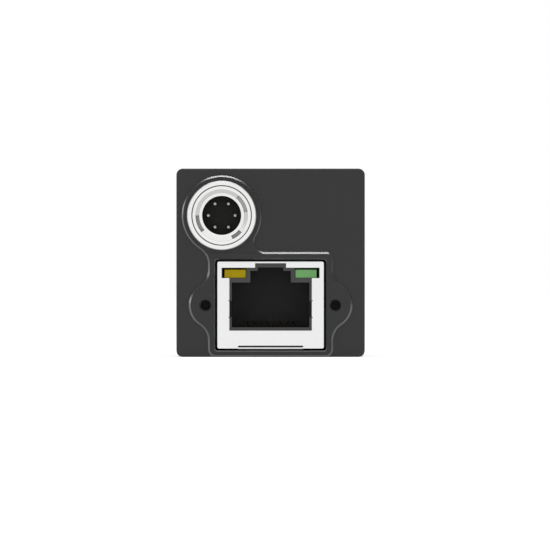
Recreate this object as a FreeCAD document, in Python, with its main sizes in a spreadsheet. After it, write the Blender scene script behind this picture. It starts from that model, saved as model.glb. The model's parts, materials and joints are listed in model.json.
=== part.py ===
import FreeCAD, Part
import os
import re

import Sketcher
from FreeCAD import Placement, Rotation, Vector

# Machine vision camera with a 1 inch, 32 threads per inch lens mount, a shielded network jack and a
# round six-pin connector. Millimetres. The origin is the centre of the lens mount's flange face, +Y
# points out of the lens, +Z is up, and "depth" is the distance behind the flange, along -Y.

sizes = {
    # Housing
    "faceWidth": 29.0, "cornerRadius": 1.0, "edgeBreak": 0.12,
    "ringRadius": 14.0, "ringLength": 5.0, "ringChamfer": 0.3,
    "jointDepth": 20.0, "spigotWidth": 26.9, "spigotLength": 3.0,
    "rearFace": 47.0, "rearWall": 2.0, "sideWall": 1.0,
    # Stepped bore of the front housing, as radii and the depths where they end
    "mountBoreRadius": 12.27, "mountBoreEnd": 5.5,
    "chamberRadius": 11.0, "chamberEnd": 10.5,
    "filterSeatRadius": 10.0, "filterSeatEnd": 13.4,
    "windowWidth": 11.0, "windowHeight": 9.5, "windowEnd": 15.6,
    "cavityWidth": 24.3, "postWidth": 4.5, "postLength": 3.1,
    "postHoleRadius": 0.8, "postHoleDepth": 2.8,
    # Tapped holes in the base and the screws that join the two housings
    "baseHoleRadius": 1.25, "baseHoleDepth": 3.0, "baseHoleSpacing": 20.0,
    "baseHoleFront": 7.0, "baseHoleRear": 17.0,
    "shellScrewDepth": 21.5, "shellScrewRadius": 0.78,
    "shellScrewLength": 2.3, "shellScrewHeadDepth": 0.6, "screwPlay": 0.05,
    # Raised connector pad on the rear face: a straight part, two ears and a round part
    "padHeight": 0.4, "padEdgeBreak": 0.28, "padHalfWidth": 9.63, "padTop": 1.65, "padEmbed": 0.5,
    "padTopCornerRadius": 1.0, "padBottomCornerRadius": 1.2,
    "earCentre": 9.0, "earHeight": -6.53, "earRadius": 3.6, "earBlend": 2.87,
    "roundPadRadius": 6.14, "roundPadSideBlend": 2.9, "roundPadTopBlend": 1.62, "roundPadStep": 0.08,
    "roundPadStepHeight": 1.48,
    # Tapped holes in the ears, and the blocks behind them
    "lockHoleSpacing": 20.0, "lockHoleRadius": 0.8, "lockHoleDepth": 4.0, "lockHoleSink": 0.2,
    "lockBlockInner": 8.6, "lockBlockWidth": 5.0, "lockBlockLength": 2.0,
    # Filter stack
    "filterRadius": 9.8, "filterThickness": 1.0, "sealThickness": 0.4, "sealInnerRadius": 8.6,
    "retainerRadius": 9.95, "retainerInnerRadius": 8.0, "retainerThickness": 1.1,
    "retainerSlotWidth": 1.2, "retainerSlotDepth": 0.6,
    # Sensor stack, front to rear
    "gasketWidth": 14.5, "gasketHeight": 13.0, "gasketOpeningWidth": 11.6, "gasketOpeningHeight": 10.1,
    "coverGlassFront": 16.5, "coverGlassThickness": 0.5, "coverGlassWidth": 14.6, "coverGlassHeight": 13.2,
    "packageWidth": 16.4, "packageHeight": 15.0, "packageWallWidth": 2.0,
    "diePlane": 17.526, "dieThickness": 0.7, "dieWidth": 9.6, "dieHeight": 7.6,
    # Circuit boards and what spaces them
    "boardThickness": 1.2, "boardHoleRadius": 1.0,
    "sensorBoardFront": 18.7, "sensorBoardWidth": 24.0,
    "processorBoardFront": 24.9, "interfaceBoardFront": 32.6, "mainBoardWidth": 26.2,
    "standoffSpacing": 20.4, "standoffFlats": 3.2, "studRadius": 0.75, "studLength": 3.6,
    "standoffHoleRadius": 0.8, "standoffHoleDepth": 4.5,
    "boardScrewHead": 1.5, "boardScrewHeadLength": 1.0, "boardScrewLength": 4.4,
    # Board-to-board connectors
    "linkWidth": 15.0, "linkHeight": 3.8, "linkWall": 0.8, "linkTongue": 2.1, "linkPlay": 0.1,
    "linkReceptacleLength": 3.0, "lowerLinkCentre": 9.0, "upperLinkCentre": 9.7,
    # Heat path from the processor to the housing
    "processorWidth": 13.0, "processorThickness": 1.2, "thermalPadWidth": 12.0, "thermalPadThickness": 1.0,
    "spreaderThickness": 1.0, "spreaderHeight": 15.0, "spreaderFlange": 4.0, "spreaderBend": 0.9,
    # Network jack
    "jackHalfWidth": 8.18, "jackTop": 0.18, "jackBottom": -13.19, "jackFace": 47.6, "sheetThickness": 0.25,
    "jackPocketHalfWidth": 8.45, "jackPocketTop": 0.45, "jackPocketBottom": -13.41, "jackPocketCorner": 0.35,
    "jackPocketChamfer": 0.15,
    "windowHalf": 6.34, "windowBottom": -10.43, "windowNotch": 0.14,
    "ledBandHalf": 7.53, "ledBandTop": -0.76, "ledBandBottom": -2.35,
    "latchHalf": 2.38, "latchTop": -0.07, "hemBottom": -13.25, "hemLength": 3.0,
    "seamHalf": 5.0, "seamHeight": -12.87, "seamWidth": 0.24,
    "moldingHalf": 7.9, "moldingTop": -0.1, "moldingBottom": -12.74,
    "plugHalf": 5.96, "plugTop": -3.05, "plugBottom": -9.92, "plugEnd": 36.3,
    "latchStepHalf": 3.1, "latchStepTop": -1.25, "latchSlotHalf": 1.95, "latchSlotTop": -0.72,
    "ledInner": 3.78, "ledOuter": 7.1, "ledTop": -1.04, "ledFace": 47.2, "ledEnd": 36.0,
    "ledBayInner": 3.74, "ledBayOuter": 7.4, "ledBayTop": -0.84,
    "springSlotOuter": 6.38, "springSlotInner": 5.76, "springSlotEnd": 40.0,
    "springSlotTop": -5.9, "springSlotBottom": -8.34,
    "insertBayBottom": -12.4, "insertBayEnd": 45.8, "insertHalf": 5.9, "insertTop": -10.05,
    "insertBottom": -12.38, "insertEnd": 44.6,
    "contactPitch": 1.02, "contactWidth": 0.35, "contactThickness": 0.3, "contactSlotWidth": 0.45,
    "contactRun": -11.6, "contactBendDepth": 45.0, "contactNoseDepth": 45.55, "contactNoseLow": -11.15,
    "contactNoseHigh": -10.35, "contactTipDepth": 39.2, "contactTip": -9.2,
    # Round connector
    "plugCentreX": -7.52, "plugCentreZ": 7.28, "panelHoleRadius": 4.6,
    "ringNutRadius": 5.33, "ringNutLength": 1.0, "ringNutChamfer": 0.12,
    "threadReliefRadius": 4.66, "threadReliefDepth": 0.35,
    "barrelRadius": 4.5, "barrelEnd": 38.6, "collarRadius": 5.9, "collarLength": 1.2,
    "ringGrooveOuter": 4.02, "ringGrooveInner": 3.46, "ringGrooveDepth": 0.42, "keywayDepth": 3.0,
    "socketRadius": 3.0, "insulatorFace": 43.9, "insulatorEnd": 37.6, "insulatorShoulder": 3.4,
    "pinCircle": 2.07, "pinRadius": 0.25, "pinTip": 47.6, "pinCount": 6,
    "washerThickness": 0.3,
}

# Keyways of the round connector: where each starts and how far it reaches, in degrees about +Y
keyways = ((140, 40), (40, 25), (-50, 42))

document = FreeCAD.newDocument("MachineVisionCamera")
sheet = document.addObject("Spreadsheet::Sheet", "Sizes")
for row, (word, size) in enumerate(sizes.items(), 1):
    sheet.set("A%d" % row, word)
    sheet.set("B%d" % row, str(size))
    sheet.setAlias("B%d" % row, word)
workings = document.addObject("Spreadsheet::Sheet", "Workings")
document.recompute()


# Formulas are written with the sheet's own words, such as "faceWidth / 2".

def fullName(word):
    return "Sizes." + word.group() if word.group() in sizes else word.group()


def formula(text):
    return re.sub(r"[A-Za-z]\w*", fullName, text)


def value(text):
    """What a formula comes to, worked out in a sheet of its own."""
    workings.set("A1", "=" + formula(text))
    workings.recompute()
    return float(workings.get("A1"))


def bind(thing, target, text):
    thing.setExpression(target, formula(text))


def around(centre, width):
    return ("%s - (%s) / 2" % (centre, width), "%s + (%s) / 2" % (centre, width))


def minus(text):
    return "-(%s)" % text


# Part primitives, placed by formulas. A span is a pair of formulas, low and high or front and rear.

backward = Rotation(Vector(1, 0, 0), 90)


def placeAt(thing, x, depth, z):
    bind(thing, "Placement.Base.x", x)
    bind(thing, "Placement.Base.y", minus(depth))
    bind(thing, "Placement.Base.z", z)
    return thing


def block(label, x, depth, z):
    box = document.addObject("Part::Box", label)
    for side, (low, high) in (("Length", x), ("Width", depth), ("Height", z)):
        bind(box, side, "(%s) - (%s)" % (high, low))
    return placeAt(box, x[0], depth[1], z[0])


def rod(label, x, z, radius, depth):
    cylinder = document.addObject("Part::Cylinder", label)
    cylinder.Placement = Placement(Vector(), backward)
    bind(cylinder, "Radius", radius)
    bind(cylinder, "Height", "(%s) - (%s)" % (depth[1], depth[0]))
    return placeAt(cylinder, x, depth[0], z)


def hexRod(label, x, z, flats, depth):
    prism = document.addObject("Part::Prism", label)
    prism.Placement = Placement(Vector(), backward)
    prism.Polygon = 6
    bind(prism, "Circumradius", "(%s) / sqrt(3)" % flats)
    bind(prism, "Height", "(%s) - (%s)" % (depth[1], depth[0]))
    return placeAt(prism, x, depth[0], z)


def joined(label, *pieces):
    fuse = document.addObject("Part::MultiFuse", label)
    fuse.Shapes = list(pieces)
    return fuse


def cutAway(label, base, *tools):
    cut = document.addObject("Part::Cut", label)
    cut.Base = base
    cut.Tool = tools[0] if len(tools) == 1 else joined(label + "_tools", *tools)
    return cut


def grouped(label, *pieces):
    compound = document.addObject("Part::Compound", label)
    compound.Links = list(pieces)
    return compound


def mirrored(label, source, normal):
    image = document.addObject("Part::Mirroring", label)
    image.Source = source
    image.Normal = normal
    return image


def atOppositeCorners(label, piece):
    across = mirrored(label + "_across", piece, Vector(1, 0, 0))
    return grouped(label, piece, mirrored(label + "_opposite", across, Vector(0, 0, 1)))


# PartDesign bodies. Sketches lie on the body's own origin planes; on XZ_Plane a sketch reads as the
# camera does from behind, and its normal points to the rear.

def newBody(label):
    return document.addObject("PartDesign::Body", label)


def sketchOn(body, plane, offset="0"):
    sketch = body.newObject("Sketcher::SketchObject", body.Label + "_sketch")
    origin = [item for item in body.Origin.OriginFeatures if item.Role == plane][0]
    sketch.AttachmentSupport = (origin, [""])
    sketch.MapMode = "FlatFace"
    bind(sketch, "AttachmentOffset.Base.z", offset)
    return sketch


def holdPoint(sketch, geometry, point, across, up):
    for kind, text in (("DistanceX", across), ("DistanceY", up)):
        number = sketch.addConstraint(Sketcher.Constraint(kind, -1, 1, geometry, point, value(text)))
        bind(sketch, "Constraints[%d]" % number, text)


def outline(sketch, corners):
    places = [Vector(value(across), value(up), 0) for across, up in corners]
    first = sketch.GeometryCount
    for start, end in zip(places, places[1:] + places[:1]):
        sketch.addGeometry(Part.LineSegment(start, end))
    for index, (across, up) in enumerate(corners):
        previous = first + (index - 1) % len(corners)
        sketch.addConstraint(Sketcher.Constraint("Coincident", previous, 2, first + index, 1))
        holdPoint(sketch, first + index, 1, across, up)


def symmetricOutline(sketch, rightSide):
    outline(sketch, rightSide + [(minus(across), up) for across, up in reversed(rightSide)])


def rectangle(sketch, across, up):
    outline(sketch, [(across[0], up[0]), (across[1], up[0]), (across[1], up[1]), (across[0], up[1])])


def circle(sketch, across, up, radius):
    ring = Part.Circle(Vector(value(across), value(up), 0), Vector(0, 0, 1), value(radius))
    number = sketch.addGeometry(ring)
    holdPoint(sketch, number, 3, across, up)
    size = sketch.addConstraint(Sketcher.Constraint("Radius", number, value(radius)))
    bind(sketch, "Constraints[%d]" % size, radius)


def corners(halfWidth):
    return [(x, z) for x in (halfWidth, minus(halfWidth)) for z in (halfWidth, minus(halfWidth))]


def oppositeCorners(halfWidth):
    return [(halfWidth, halfWidth), (minus(halfWidth), minus(halfWidth))]


def feature(body, kind, sketch, **settings):
    """Adds a feature made from a sketch. A cut that takes nothing away is an error."""
    before = body.Shape.Volume if body.Tip else 0
    item = body.newObject("PartDesign::" + kind, body.Label + "_" + kind.lower())
    item.Profile = sketch
    for name, setting in settings.items():
        if isinstance(setting, str):
            bind(item, name, setting)
        else:
            setattr(item, name, setting)
    document.recompute()
    if kind in ("Pocket", "Groove") and body.Shape.Volume > before - 1e-6:
        raise RuntimeError("%s cuts nothing" % item.Label)
    return item


def addBody(body, other):
    joint = body.newObject("PartDesign::Boolean", body.Label + "_union")
    joint.Type = "Fuse"
    joint.Group = [other]
    body.Tip = joint
    document.recompute()


def pad(body, sketch, length):
    return feature(body, "Pad", sketch, Length=length)


def pocketRearward(body, sketch, length):
    return feature(body, "Pocket", sketch, Length=length, Reversed=True)


def pocketForward(body, sketch, length):
    return feature(body, "Pocket", sketch, Length=length)


def turned(body, profile):
    """A revolved solid about the body's own Y axis, from radii and depths."""
    sketch = sketchOn(body, "XY_Plane")
    outline(sketch, [(radius, minus(depth)) for radius, depth in profile])
    return feature(body, "Revolution", sketch, ReferenceAxis=(sketch, ["V_Axis"]), Angle=360.0)


def dressEdges(body, kind, radius, wanted):
    """A fillet or chamfer on the tip's edges that a test picks by their end points."""
    tip = body.Tip
    names = ["Edge%d" % number for number, edge in enumerate(tip.Shape.Edges, 1) if wanted(edge)]
    if not names:
        raise RuntimeError("%s finds no edge to dress" % body.Label)
    item = body.newObject("PartDesign::" + kind, body.Label + "_" + kind.lower())
    item.Base = (tip, names)
    bind(item, "Radius" if kind == "Fillet" else "Size", radius)
    document.recompute()
    return item


def ends(edge):
    return [vertex.Point for vertex in edge.Vertexes]


def near(one, other):
    return abs(one - other) < 1e-4


def runsRearward(edge):
    places = ends(edge)
    return len(places) == 2 and near(places[0].x, places[1].x) and near(places[0].z, places[1].z)


def uprightAt(*places):
    """Picks edges along the depth axis whose x and z match one of the places."""
    spots = [(value(x), value(z)) for x, z in places]

    def test(edge):
        point = ends(edge)[0]
        return runsRearward(edge) and any(near(point.x, x) and near(point.z, z) for x, z in spots)
    return test


def inPlane(depth):
    level = -value(depth)
    return lambda edge: all(near(point.y, level) for point in ends(edge)) and near(edge.CenterOfMass.y, level)


# Front housing

def frontHousing():
    body = newBody("front_housing")
    square = around("0", "faceWidth")
    blockSketch = sketchOn(body, "XZ_Plane", "ringLength")
    rectangle(blockSketch, square, square)
    pad(body, blockSketch, "jointDepth - ringLength")
    dressEdges(body, "Fillet", "cornerRadius", uprightAt(*corners("faceWidth / 2")))
    dressEdges(body, "Chamfer", "edgeBreak", inPlane("ringLength"))
    ring = sketchOn(body, "XZ_Plane")
    circle(ring, "0", "0", "ringRadius")
    pad(body, ring, "ringLength + padEmbed")
    dressEdges(body, "Chamfer", "ringChamfer", inPlane("0"))
    spigot = sketchOn(body, "XZ_Plane", "jointDepth")
    rectangle(spigot, around("0", "spigotWidth"), around("0", "spigotWidth"))
    pad(body, spigot, "spigotLength")
    steppedBore(body)
    sensorCavity(body)
    baseHoles(body)
    screwHoles = sketchOn(body, "YZ_Plane", "-spigotWidth")
    circle(screwHoles, "-shellScrewDepth", "0", "shellScrewRadius")
    feature(body, "Pocket", screwHoles, Length="spigotWidth * 2", Reversed=True)
    return body


def steppedBore(body):
    profile = [("0", "0"), ("mountBoreRadius", "0"),
               ("mountBoreRadius", "mountBoreEnd"), ("chamberRadius", "mountBoreEnd"),
               ("chamberRadius", "chamberEnd"), ("filterSeatRadius", "chamberEnd"),
               ("filterSeatRadius", "filterSeatEnd"), ("0", "filterSeatEnd")]
    sketch = sketchOn(body, "XY_Plane")
    outline(sketch, [(radius, minus(depth)) for radius, depth in profile])
    feature(body, "Groove", sketch, ReferenceAxis=(sketch, ["V_Axis"]), Angle=360.0)


def sensorCavity(body):
    window = sketchOn(body, "XZ_Plane", "filterSeatEnd")
    rectangle(window, around("0", "windowWidth"), around("0", "windowHeight"))
    pocketRearward(body, window, "windowEnd - filterSeatEnd")
    cavity = sketchOn(body, "XZ_Plane", "windowEnd")
    rectangle(cavity, around("0", "cavityWidth"), around("0", "cavityWidth"))
    pocketRearward(body, cavity, "jointDepth + spigotLength - windowEnd")
    posts = sketchOn(body, "XZ_Plane", "windowEnd")
    outer = "cavityWidth / 2 + padEmbed"
    inner = "cavityWidth / 2 - postWidth"
    for across in ((inner, outer), (minus(outer), minus(inner))):
        for up in ((inner, outer), (minus(outer), minus(inner))):
            rectangle(posts, across, up)
    pad(body, posts, "postLength")
    taps = sketchOn(body, "XZ_Plane", "windowEnd + postLength")
    for across, up in oppositeCorners("standoffSpacing / 2"):
        circle(taps, across, up, "postHoleRadius")
    pocketForward(body, taps, "postHoleDepth")


def baseHoles(body):
    sketch = sketchOn(body, "XY_Plane", "-faceWidth / 2")
    for across in ("baseHoleSpacing / 2", "-baseHoleSpacing / 2"):
        for depth in ("baseHoleFront", "baseHoleRear"):
            circle(sketch, across, minus(depth), "baseHoleRadius")
    feature(body, "Pocket", sketch, Length="baseHoleDepth", Reversed=True)


# Rear shell with the blended connector pad

def rearShell():
    body = newBody("rear_shell")
    square = around("0", "faceWidth")
    blockSketch = sketchOn(body, "XZ_Plane", "jointDepth")
    rectangle(blockSketch, square, square)
    pad(body, blockSketch, "rearFace - jointDepth")
    dressEdges(body, "Fillet", "cornerRadius", uprightAt(*corners("faceWidth / 2")))
    dressEdges(body, "Chamfer", "edgeBreak", inPlane("rearFace"))
    addBody(body, connectorPad())
    inside = sketchOn(body, "XZ_Plane", "jointDepth")
    rectangle(inside, around("0", "faceWidth - 2 * sideWall"), around("0", "faceWidth - 2 * sideWall"))
    pocketRearward(body, inside, "rearFace - rearWall - jointDepth")
    lockBlocks(body)
    jackPocket(body)
    panel = sketchOn(body, "XZ_Plane", "rearFace + padHeight")
    circle(panel, "plugCentreX", "plugCentreZ", "panelHoleRadius")
    pocketForward(body, panel, "rearWall + padHeight")
    lockHoles(body)
    shellScrewSeats(body)
    return body


def connectorPad():
    """The straight part, the two ears and the round part, run into each other by blends."""
    body = newBody("connector_pad")
    start = "rearFace - padEmbed"
    straight = sketchOn(body, "XZ_Plane", start)
    rectangle(straight, around("0", "2 * padHalfWidth"), ("-faceWidth / 2", "padTop"))
    pad(body, straight, "padHeight + padEmbed")
    dressEdges(body, "Fillet", "padTopCornerRadius", uprightAt(("padHalfWidth", "padTop")))
    lowCorners = [(side, "-faceWidth / 2") for side in ("padHalfWidth", "-padHalfWidth")]
    dressEdges(body, "Fillet", "padBottomCornerRadius", uprightAt(*lowCorners))
    lobes = (("earCentre", "earHeight", "earRadius"), ("-earCentre", "earHeight", "earRadius"),
             ("plugCentreX", "plugCentreZ", "roundPadRadius"))
    for across, up, radius in lobes:
        lobe = sketchOn(body, "XZ_Plane", start)
        circle(lobe, across, up, radius)
        pad(body, lobe, "padHeight + padEmbed")
    notch = "sqrt(earRadius ^ 2 - (padHalfWidth - earCentre) ^ 2)"
    earJoins = [(side, "earHeight %s %s" % (sign, notch)) for side in ("padHalfWidth", "-padHalfWidth")
                for sign in "+-"]
    dressEdges(body, "Fillet", "earBlend", uprightAt(*earJoins))
    sideReach = "sqrt(roundPadRadius ^ 2 - (padHalfWidth + plugCentreX) ^ 2)"
    dressEdges(body, "Fillet", "roundPadSideBlend", uprightAt(("-padHalfWidth", "plugCentreZ - " + sideReach)))
    topReach = "sqrt(roundPadRadius ^ 2 - (plugCentreZ - padTop) ^ 2)"
    dressEdges(body, "Fillet", "roundPadTopBlend", uprightAt(("plugCentreX + " + topReach, "padTop")))
    dressEdges(body, "Chamfer", "padEdgeBreak", inPlane("rearFace + padHeight"))
    step = sketchOn(body, "XZ_Plane", "rearFace + padHeight - roundPadStep")
    rectangle(step, ("-faceWidth / 2", "0"), ("roundPadStepHeight", "faceWidth / 2"))
    pocketRearward(body, step, "padHeight")
    return body


def lockBlocks(body):
    sketch = sketchOn(body, "XZ_Plane", "rearFace - rearWall - lockBlockLength")
    height = around("earHeight", "lockBlockWidth")
    outer = "faceWidth / 2 - sideWall / 2"
    rectangle(sketch, ("lockBlockInner", outer), height)
    rectangle(sketch, (minus(outer), "-lockBlockInner"), height)
    pad(body, sketch, "lockBlockLength + rearWall / 2")


def jackPocket(body):
    sketch = sketchOn(body, "XZ_Plane", "rearFace + padHeight")
    rectangle(sketch, around("0", "2 * jackPocketHalfWidth"), ("jackPocketBottom", "jackPocketTop"))
    pocketForward(body, sketch, "padHeight + rearWall")
    sides = [(side, height) for side in ("jackPocketHalfWidth", "-jackPocketHalfWidth")
             for height in ("jackPocketTop", "jackPocketBottom")]
    dressEdges(body, "Fillet", "jackPocketCorner", uprightAt(*sides))
    level = inPlane("rearFace + padHeight")
    reach = value("jackPocketHalfWidth") + 0.01
    floor = value("jackPocketBottom") - 0.01
    dressEdges(body, "Chamfer", "jackPocketChamfer",
               lambda edge: level(edge) and all(abs(point.x) < reach and floor < point.z < value("padTop") - 1
                                                for point in ends(edge)))


def lockHoles(body):
    sketch = sketchOn(body, "XZ_Plane", "rearFace + padHeight")
    for across in ("lockHoleSpacing / 2", "-lockHoleSpacing / 2"):
        circle(sketch, across, "earHeight", "lockHoleRadius")
    pocketForward(body, sketch, "lockHoleDepth")
    level = inPlane("rearFace + padHeight")
    mouths = [Vector(side * value("lockHoleSpacing") / 2, 0, value("earHeight")) for side in (1, -1)]
    dressEdges(body, "Chamfer", "lockHoleSink",
               lambda edge: level(edge) and any(Vector(point.x, 0, point.z).distanceToPoint(mouth) < 1
                                                for mouth in mouths for point in ends(edge)))


def shellScrewSeats(body):
    """Countersunk seats in the two side walls."""
    holes = sketchOn(body, "YZ_Plane", "-faceWidth")
    circle(holes, "-shellScrewDepth", "0", "shellScrewRadius + screwPlay")
    feature(body, "Pocket", holes, Length="faceWidth * 2", Reversed=True)
    side = value("faceWidth / 2")
    dressEdges(body, "Chamfer", "shellScrewHeadDepth",
               lambda edge: edge.Closed and all(near(abs(point.x), side) for point in ends(edge)))


def shellScrews():
    body = newBody("shell_screw")
    sketch = sketchOn(body, "XY_Plane")
    outer = "faceWidth / 2"
    coneEnd = outer + " - shellScrewHeadDepth - screwPlay"
    outline(sketch, [(outer + " - shellScrewLength", "0"), (outer + " - shellScrewLength", "shellScrewRadius"),
                     (coneEnd, "shellScrewRadius"),
                     (outer, "shellScrewRadius + screwPlay + shellScrewHeadDepth"), (outer, "0")])
    feature(body, "Revolution", sketch, ReferenceAxis=(sketch, ["H_Axis"]), Angle=360.0)
    placeAt(body, "0", "shellScrewDepth", "0")
    return grouped("shell_screws", body, mirrored("shell_screws_across", body, Vector(1, 0, 0)))


# Filter stack

def irFilter():
    glassRear = "filterSeatEnd - sealThickness"
    return rod("ir_filter", "0", "0", "filterRadius", (glassRear + " - filterThickness", glassRear))


def filterSeal():
    body = newBody("filter_seal")
    front = "filterSeatEnd - sealThickness"
    turned(body, [("sealInnerRadius", front), ("filterRadius", front),
                  ("filterRadius", "filterSeatEnd"), ("sealInnerRadius", "filterSeatEnd")])
    return body


def filterRetainingRing():
    """A ring screwed down on the filter, with two slots for a spanner."""
    body = newBody("filter_retaining_ring")
    rear = "filterSeatEnd - sealThickness - filterThickness"
    front = rear + " - retainerThickness"
    turned(body, [("retainerInnerRadius", front), ("retainerRadius", front),
                  ("retainerRadius", rear), ("retainerInnerRadius", rear)])
    slots = sketchOn(body, "XZ_Plane", front)
    rectangle(slots, around("0", "retainerSlotWidth"), around("0", "2 * chamberRadius"))
    pocketRearward(body, slots, "retainerSlotDepth")
    return body


# Sensor stack

def frame(label, outer, inner, depth):
    body = newBody(label)
    sketch = sketchOn(body, "XZ_Plane", depth[0])
    rectangle(sketch, around("0", outer[0]), around("0", outer[1]))
    rectangle(sketch, around("0", inner[0]), around("0", inner[1]))
    pad(body, sketch, "(%s) - (%s)" % (depth[1], depth[0]))
    return body


def slab(label, width, height, depth, x="0", z="0"):
    return block(label, around(x, width), depth, around(z, height))


def sensorPackage():
    """Ceramic carrier: a tray with the die on its floor and the cover glass on its rim."""
    body = newBody("sensor_package")
    front = "coverGlassFront + coverGlassThickness"
    sketch = sketchOn(body, "XZ_Plane", front)
    rectangle(sketch, around("0", "packageWidth"), around("0", "packageHeight"))
    pad(body, sketch, "sensorBoardFront - (%s)" % front)
    well = sketchOn(body, "XZ_Plane", front)
    rectangle(well, around("0", "packageWidth - 2 * packageWallWidth"),
              around("0", "packageHeight - 2 * packageWallWidth"))
    pocketRearward(body, well, "diePlane + dieThickness - (%s)" % front)
    return body


def sensorStack():
    glassRear = "coverGlassFront + coverGlassThickness"
    gasket = frame("sensor_gasket", ("gasketWidth", "gasketHeight"),
                   ("gasketOpeningWidth", "gasketOpeningHeight"), ("windowEnd", "coverGlassFront"))
    glass = slab("sensor_cover_glass", "coverGlassWidth", "coverGlassHeight", ("coverGlassFront", glassRear))
    die = slab("sensor_die", "dieWidth", "dieHeight", ("diePlane", "diePlane + dieThickness"))
    return [gasket, glass, die, sensorPackage()]


# Circuit boards, their standoffs and their links

def circuitBoard(label, width, front):
    body = newBody(label)
    sketch = sketchOn(body, "XZ_Plane", front)
    rectangle(sketch, around("0", width), around("0", width))
    for across, up in oppositeCorners("standoffSpacing / 2"):
        circle(sketch, across, up, "boardHoleRadius")
    pad(body, sketch, "boardThickness")
    return body


def standoffs(label, front, rear):
    """Hexagonal spacers with a stud in front and a tapped hole behind."""
    place = "standoffSpacing / 2"
    spacer = joined(label + "_solid", hexRod(label + "_hex", place, place, "standoffFlats", (front, rear)),
                    rod(label + "_stud", place, place, "studRadius", (front + " - studLength", front)))
    tap = rod(label + "_tap", place, place, "standoffHoleRadius", (rear + " - standoffHoleDepth", rear))
    return atOppositeCorners(label, cutAway(label + "_one", spacer, tap))


def boardScrews():
    body = newBody("board_screw")
    seat = "interfaceBoardFront + boardThickness"
    top = seat + " + boardScrewHeadLength"
    turned(body, [("0", seat + " - boardScrewLength"), ("studRadius", seat + " - boardScrewLength"),
                  ("studRadius", seat), ("boardScrewHead", seat), ("boardScrewHead", top), ("0", top)])
    placeAt(body, "standoffSpacing / 2", "0", "standoffSpacing / 2")
    return atOppositeCorners("board_screws", body)


def link(headerLabel, receptacleLabel, front, rear, centre):
    """A header on the front board and the receptacle that its tongue enters, on the rear board."""
    split = rear + " - linkReceptacleLength"
    inner = ("linkWidth - 2 * linkWall", "linkHeight - 2 * linkWall")
    tongueEnd = split + " + linkTongue"
    plug = joined(headerLabel,
                  slab(headerLabel + "_base", "linkWidth", "linkHeight", (front, split), z=centre),
                  slab(headerLabel + "_tongue", inner[0] + " - 2 * linkPlay", inner[1] + " - 2 * linkPlay",
                       (split, tongueEnd), z=centre))
    socket = cutAway(receptacleLabel,
                     slab(receptacleLabel + "_base", "linkWidth", "linkHeight", (split, rear), z=centre),
                     slab(receptacleLabel + "_well", inner[0], inner[1],
                          (split, tongueEnd + " + linkPlay"), z=centre))
    return [plug, socket]


def boardStack():
    sensorRear = "sensorBoardFront + boardThickness"
    processorRear = "processorBoardFront + boardThickness"
    return [circuitBoard("sensor_board", "sensorBoardWidth", "sensorBoardFront"),
            circuitBoard("processor_board", "mainBoardWidth", "processorBoardFront"),
            circuitBoard("interface_board", "mainBoardWidth", "interfaceBoardFront"),
            standoffs("lower_standoffs", sensorRear, "processorBoardFront"),
            standoffs("upper_standoffs", processorRear, "interfaceBoardFront"), boardScrews(),
            *link("sensor_board_header", "processor_board_receptacle", sensorRear, "processorBoardFront",
                  "lowerLinkCentre"),
            *link("processor_board_header", "interface_board_receptacle", processorRear,
                  "interfaceBoardFront", "upperLinkCentre")]


def boardParts():
    """Packages on the boards: side, x, z, width, height and thickness of each."""
    faces = {"processorFront": ("processorBoardFront", -1),
             "interfaceFront": ("interfaceBoardFront", -1),
             "interfaceRear": ("interfaceBoardFront + boardThickness", 1)}
    layout = {"memory_chip": ("processorFront", "-3.4", "-3.0", "9", "11", "1.0"),
              "flash_chip": ("processorFront", "6.4", "-4.5", "6", "5", "0.8"),
              "ethernet_transformer": ("interfaceFront", "0", "-9.2", "13", "6", "2.4"),
              "ethernet_phy_chip": ("interfaceRear", "4.4", "5.8", "7", "7", "0.9"),
              "power_inductor": ("interfaceRear", "10.6", "4.6", "4.4", "4.4", "2.5"),
              "optocoupler": ("interfaceRear", "-2.2", "10.8", "4.4", "3.6", "2.0"),
              "clock_crystal": ("interfaceRear", "-2.0", "4.4", "3.2", "2.5", "0.8")}
    parts = []
    for label, (face, x, z, width, height, thickness) in layout.items():
        seat, side = faces[face]
        depth = (seat, seat + " + " + thickness) if side > 0 else (seat + " - " + thickness, seat)
        parts.append(slab(label, width, height, depth, x, z))
    return parts


# Heat path

def heatSpreader(front):
    """A folded plate whose two flanges lie against the side walls."""
    body = newBody("heat_spreader")
    sketch = sketchOn(body, "XY_Plane", "-spreaderHeight / 2")
    half = "faceWidth / 2 - sideWall"
    symmetricOutline(sketch, [(half, minus(front)), (half, minus(front + " + spreaderFlange")),
                              (half + " - spreaderThickness", minus(front + " + spreaderFlange")),
                              (half + " - spreaderThickness", minus(front + " + spreaderThickness"))])
    pad(body, sketch, "spreaderHeight")
    dressEdges(body, "Fillet", "spreaderBend",
               lambda edge: all(near(abs(point.x), value(half)) and near(point.y, -value(front))
                                for point in ends(edge)) and near(abs(edge.CenterOfMass.x), value(half)))
    return body


def heatPath():
    seat = "processorBoardFront + boardThickness"
    top = seat + " + processorThickness"
    return [slab("processor_chip", "processorWidth", "processorWidth", (seat, top)),
            slab("thermal_pad", "thermalPadWidth", "thermalPadWidth", (top, top + " + thermalPadThickness")),
            heatSpreader(top + " + thermalPadThickness")]


# Network jack

jackSeat = "interfaceBoardFront + boardThickness"


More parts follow.
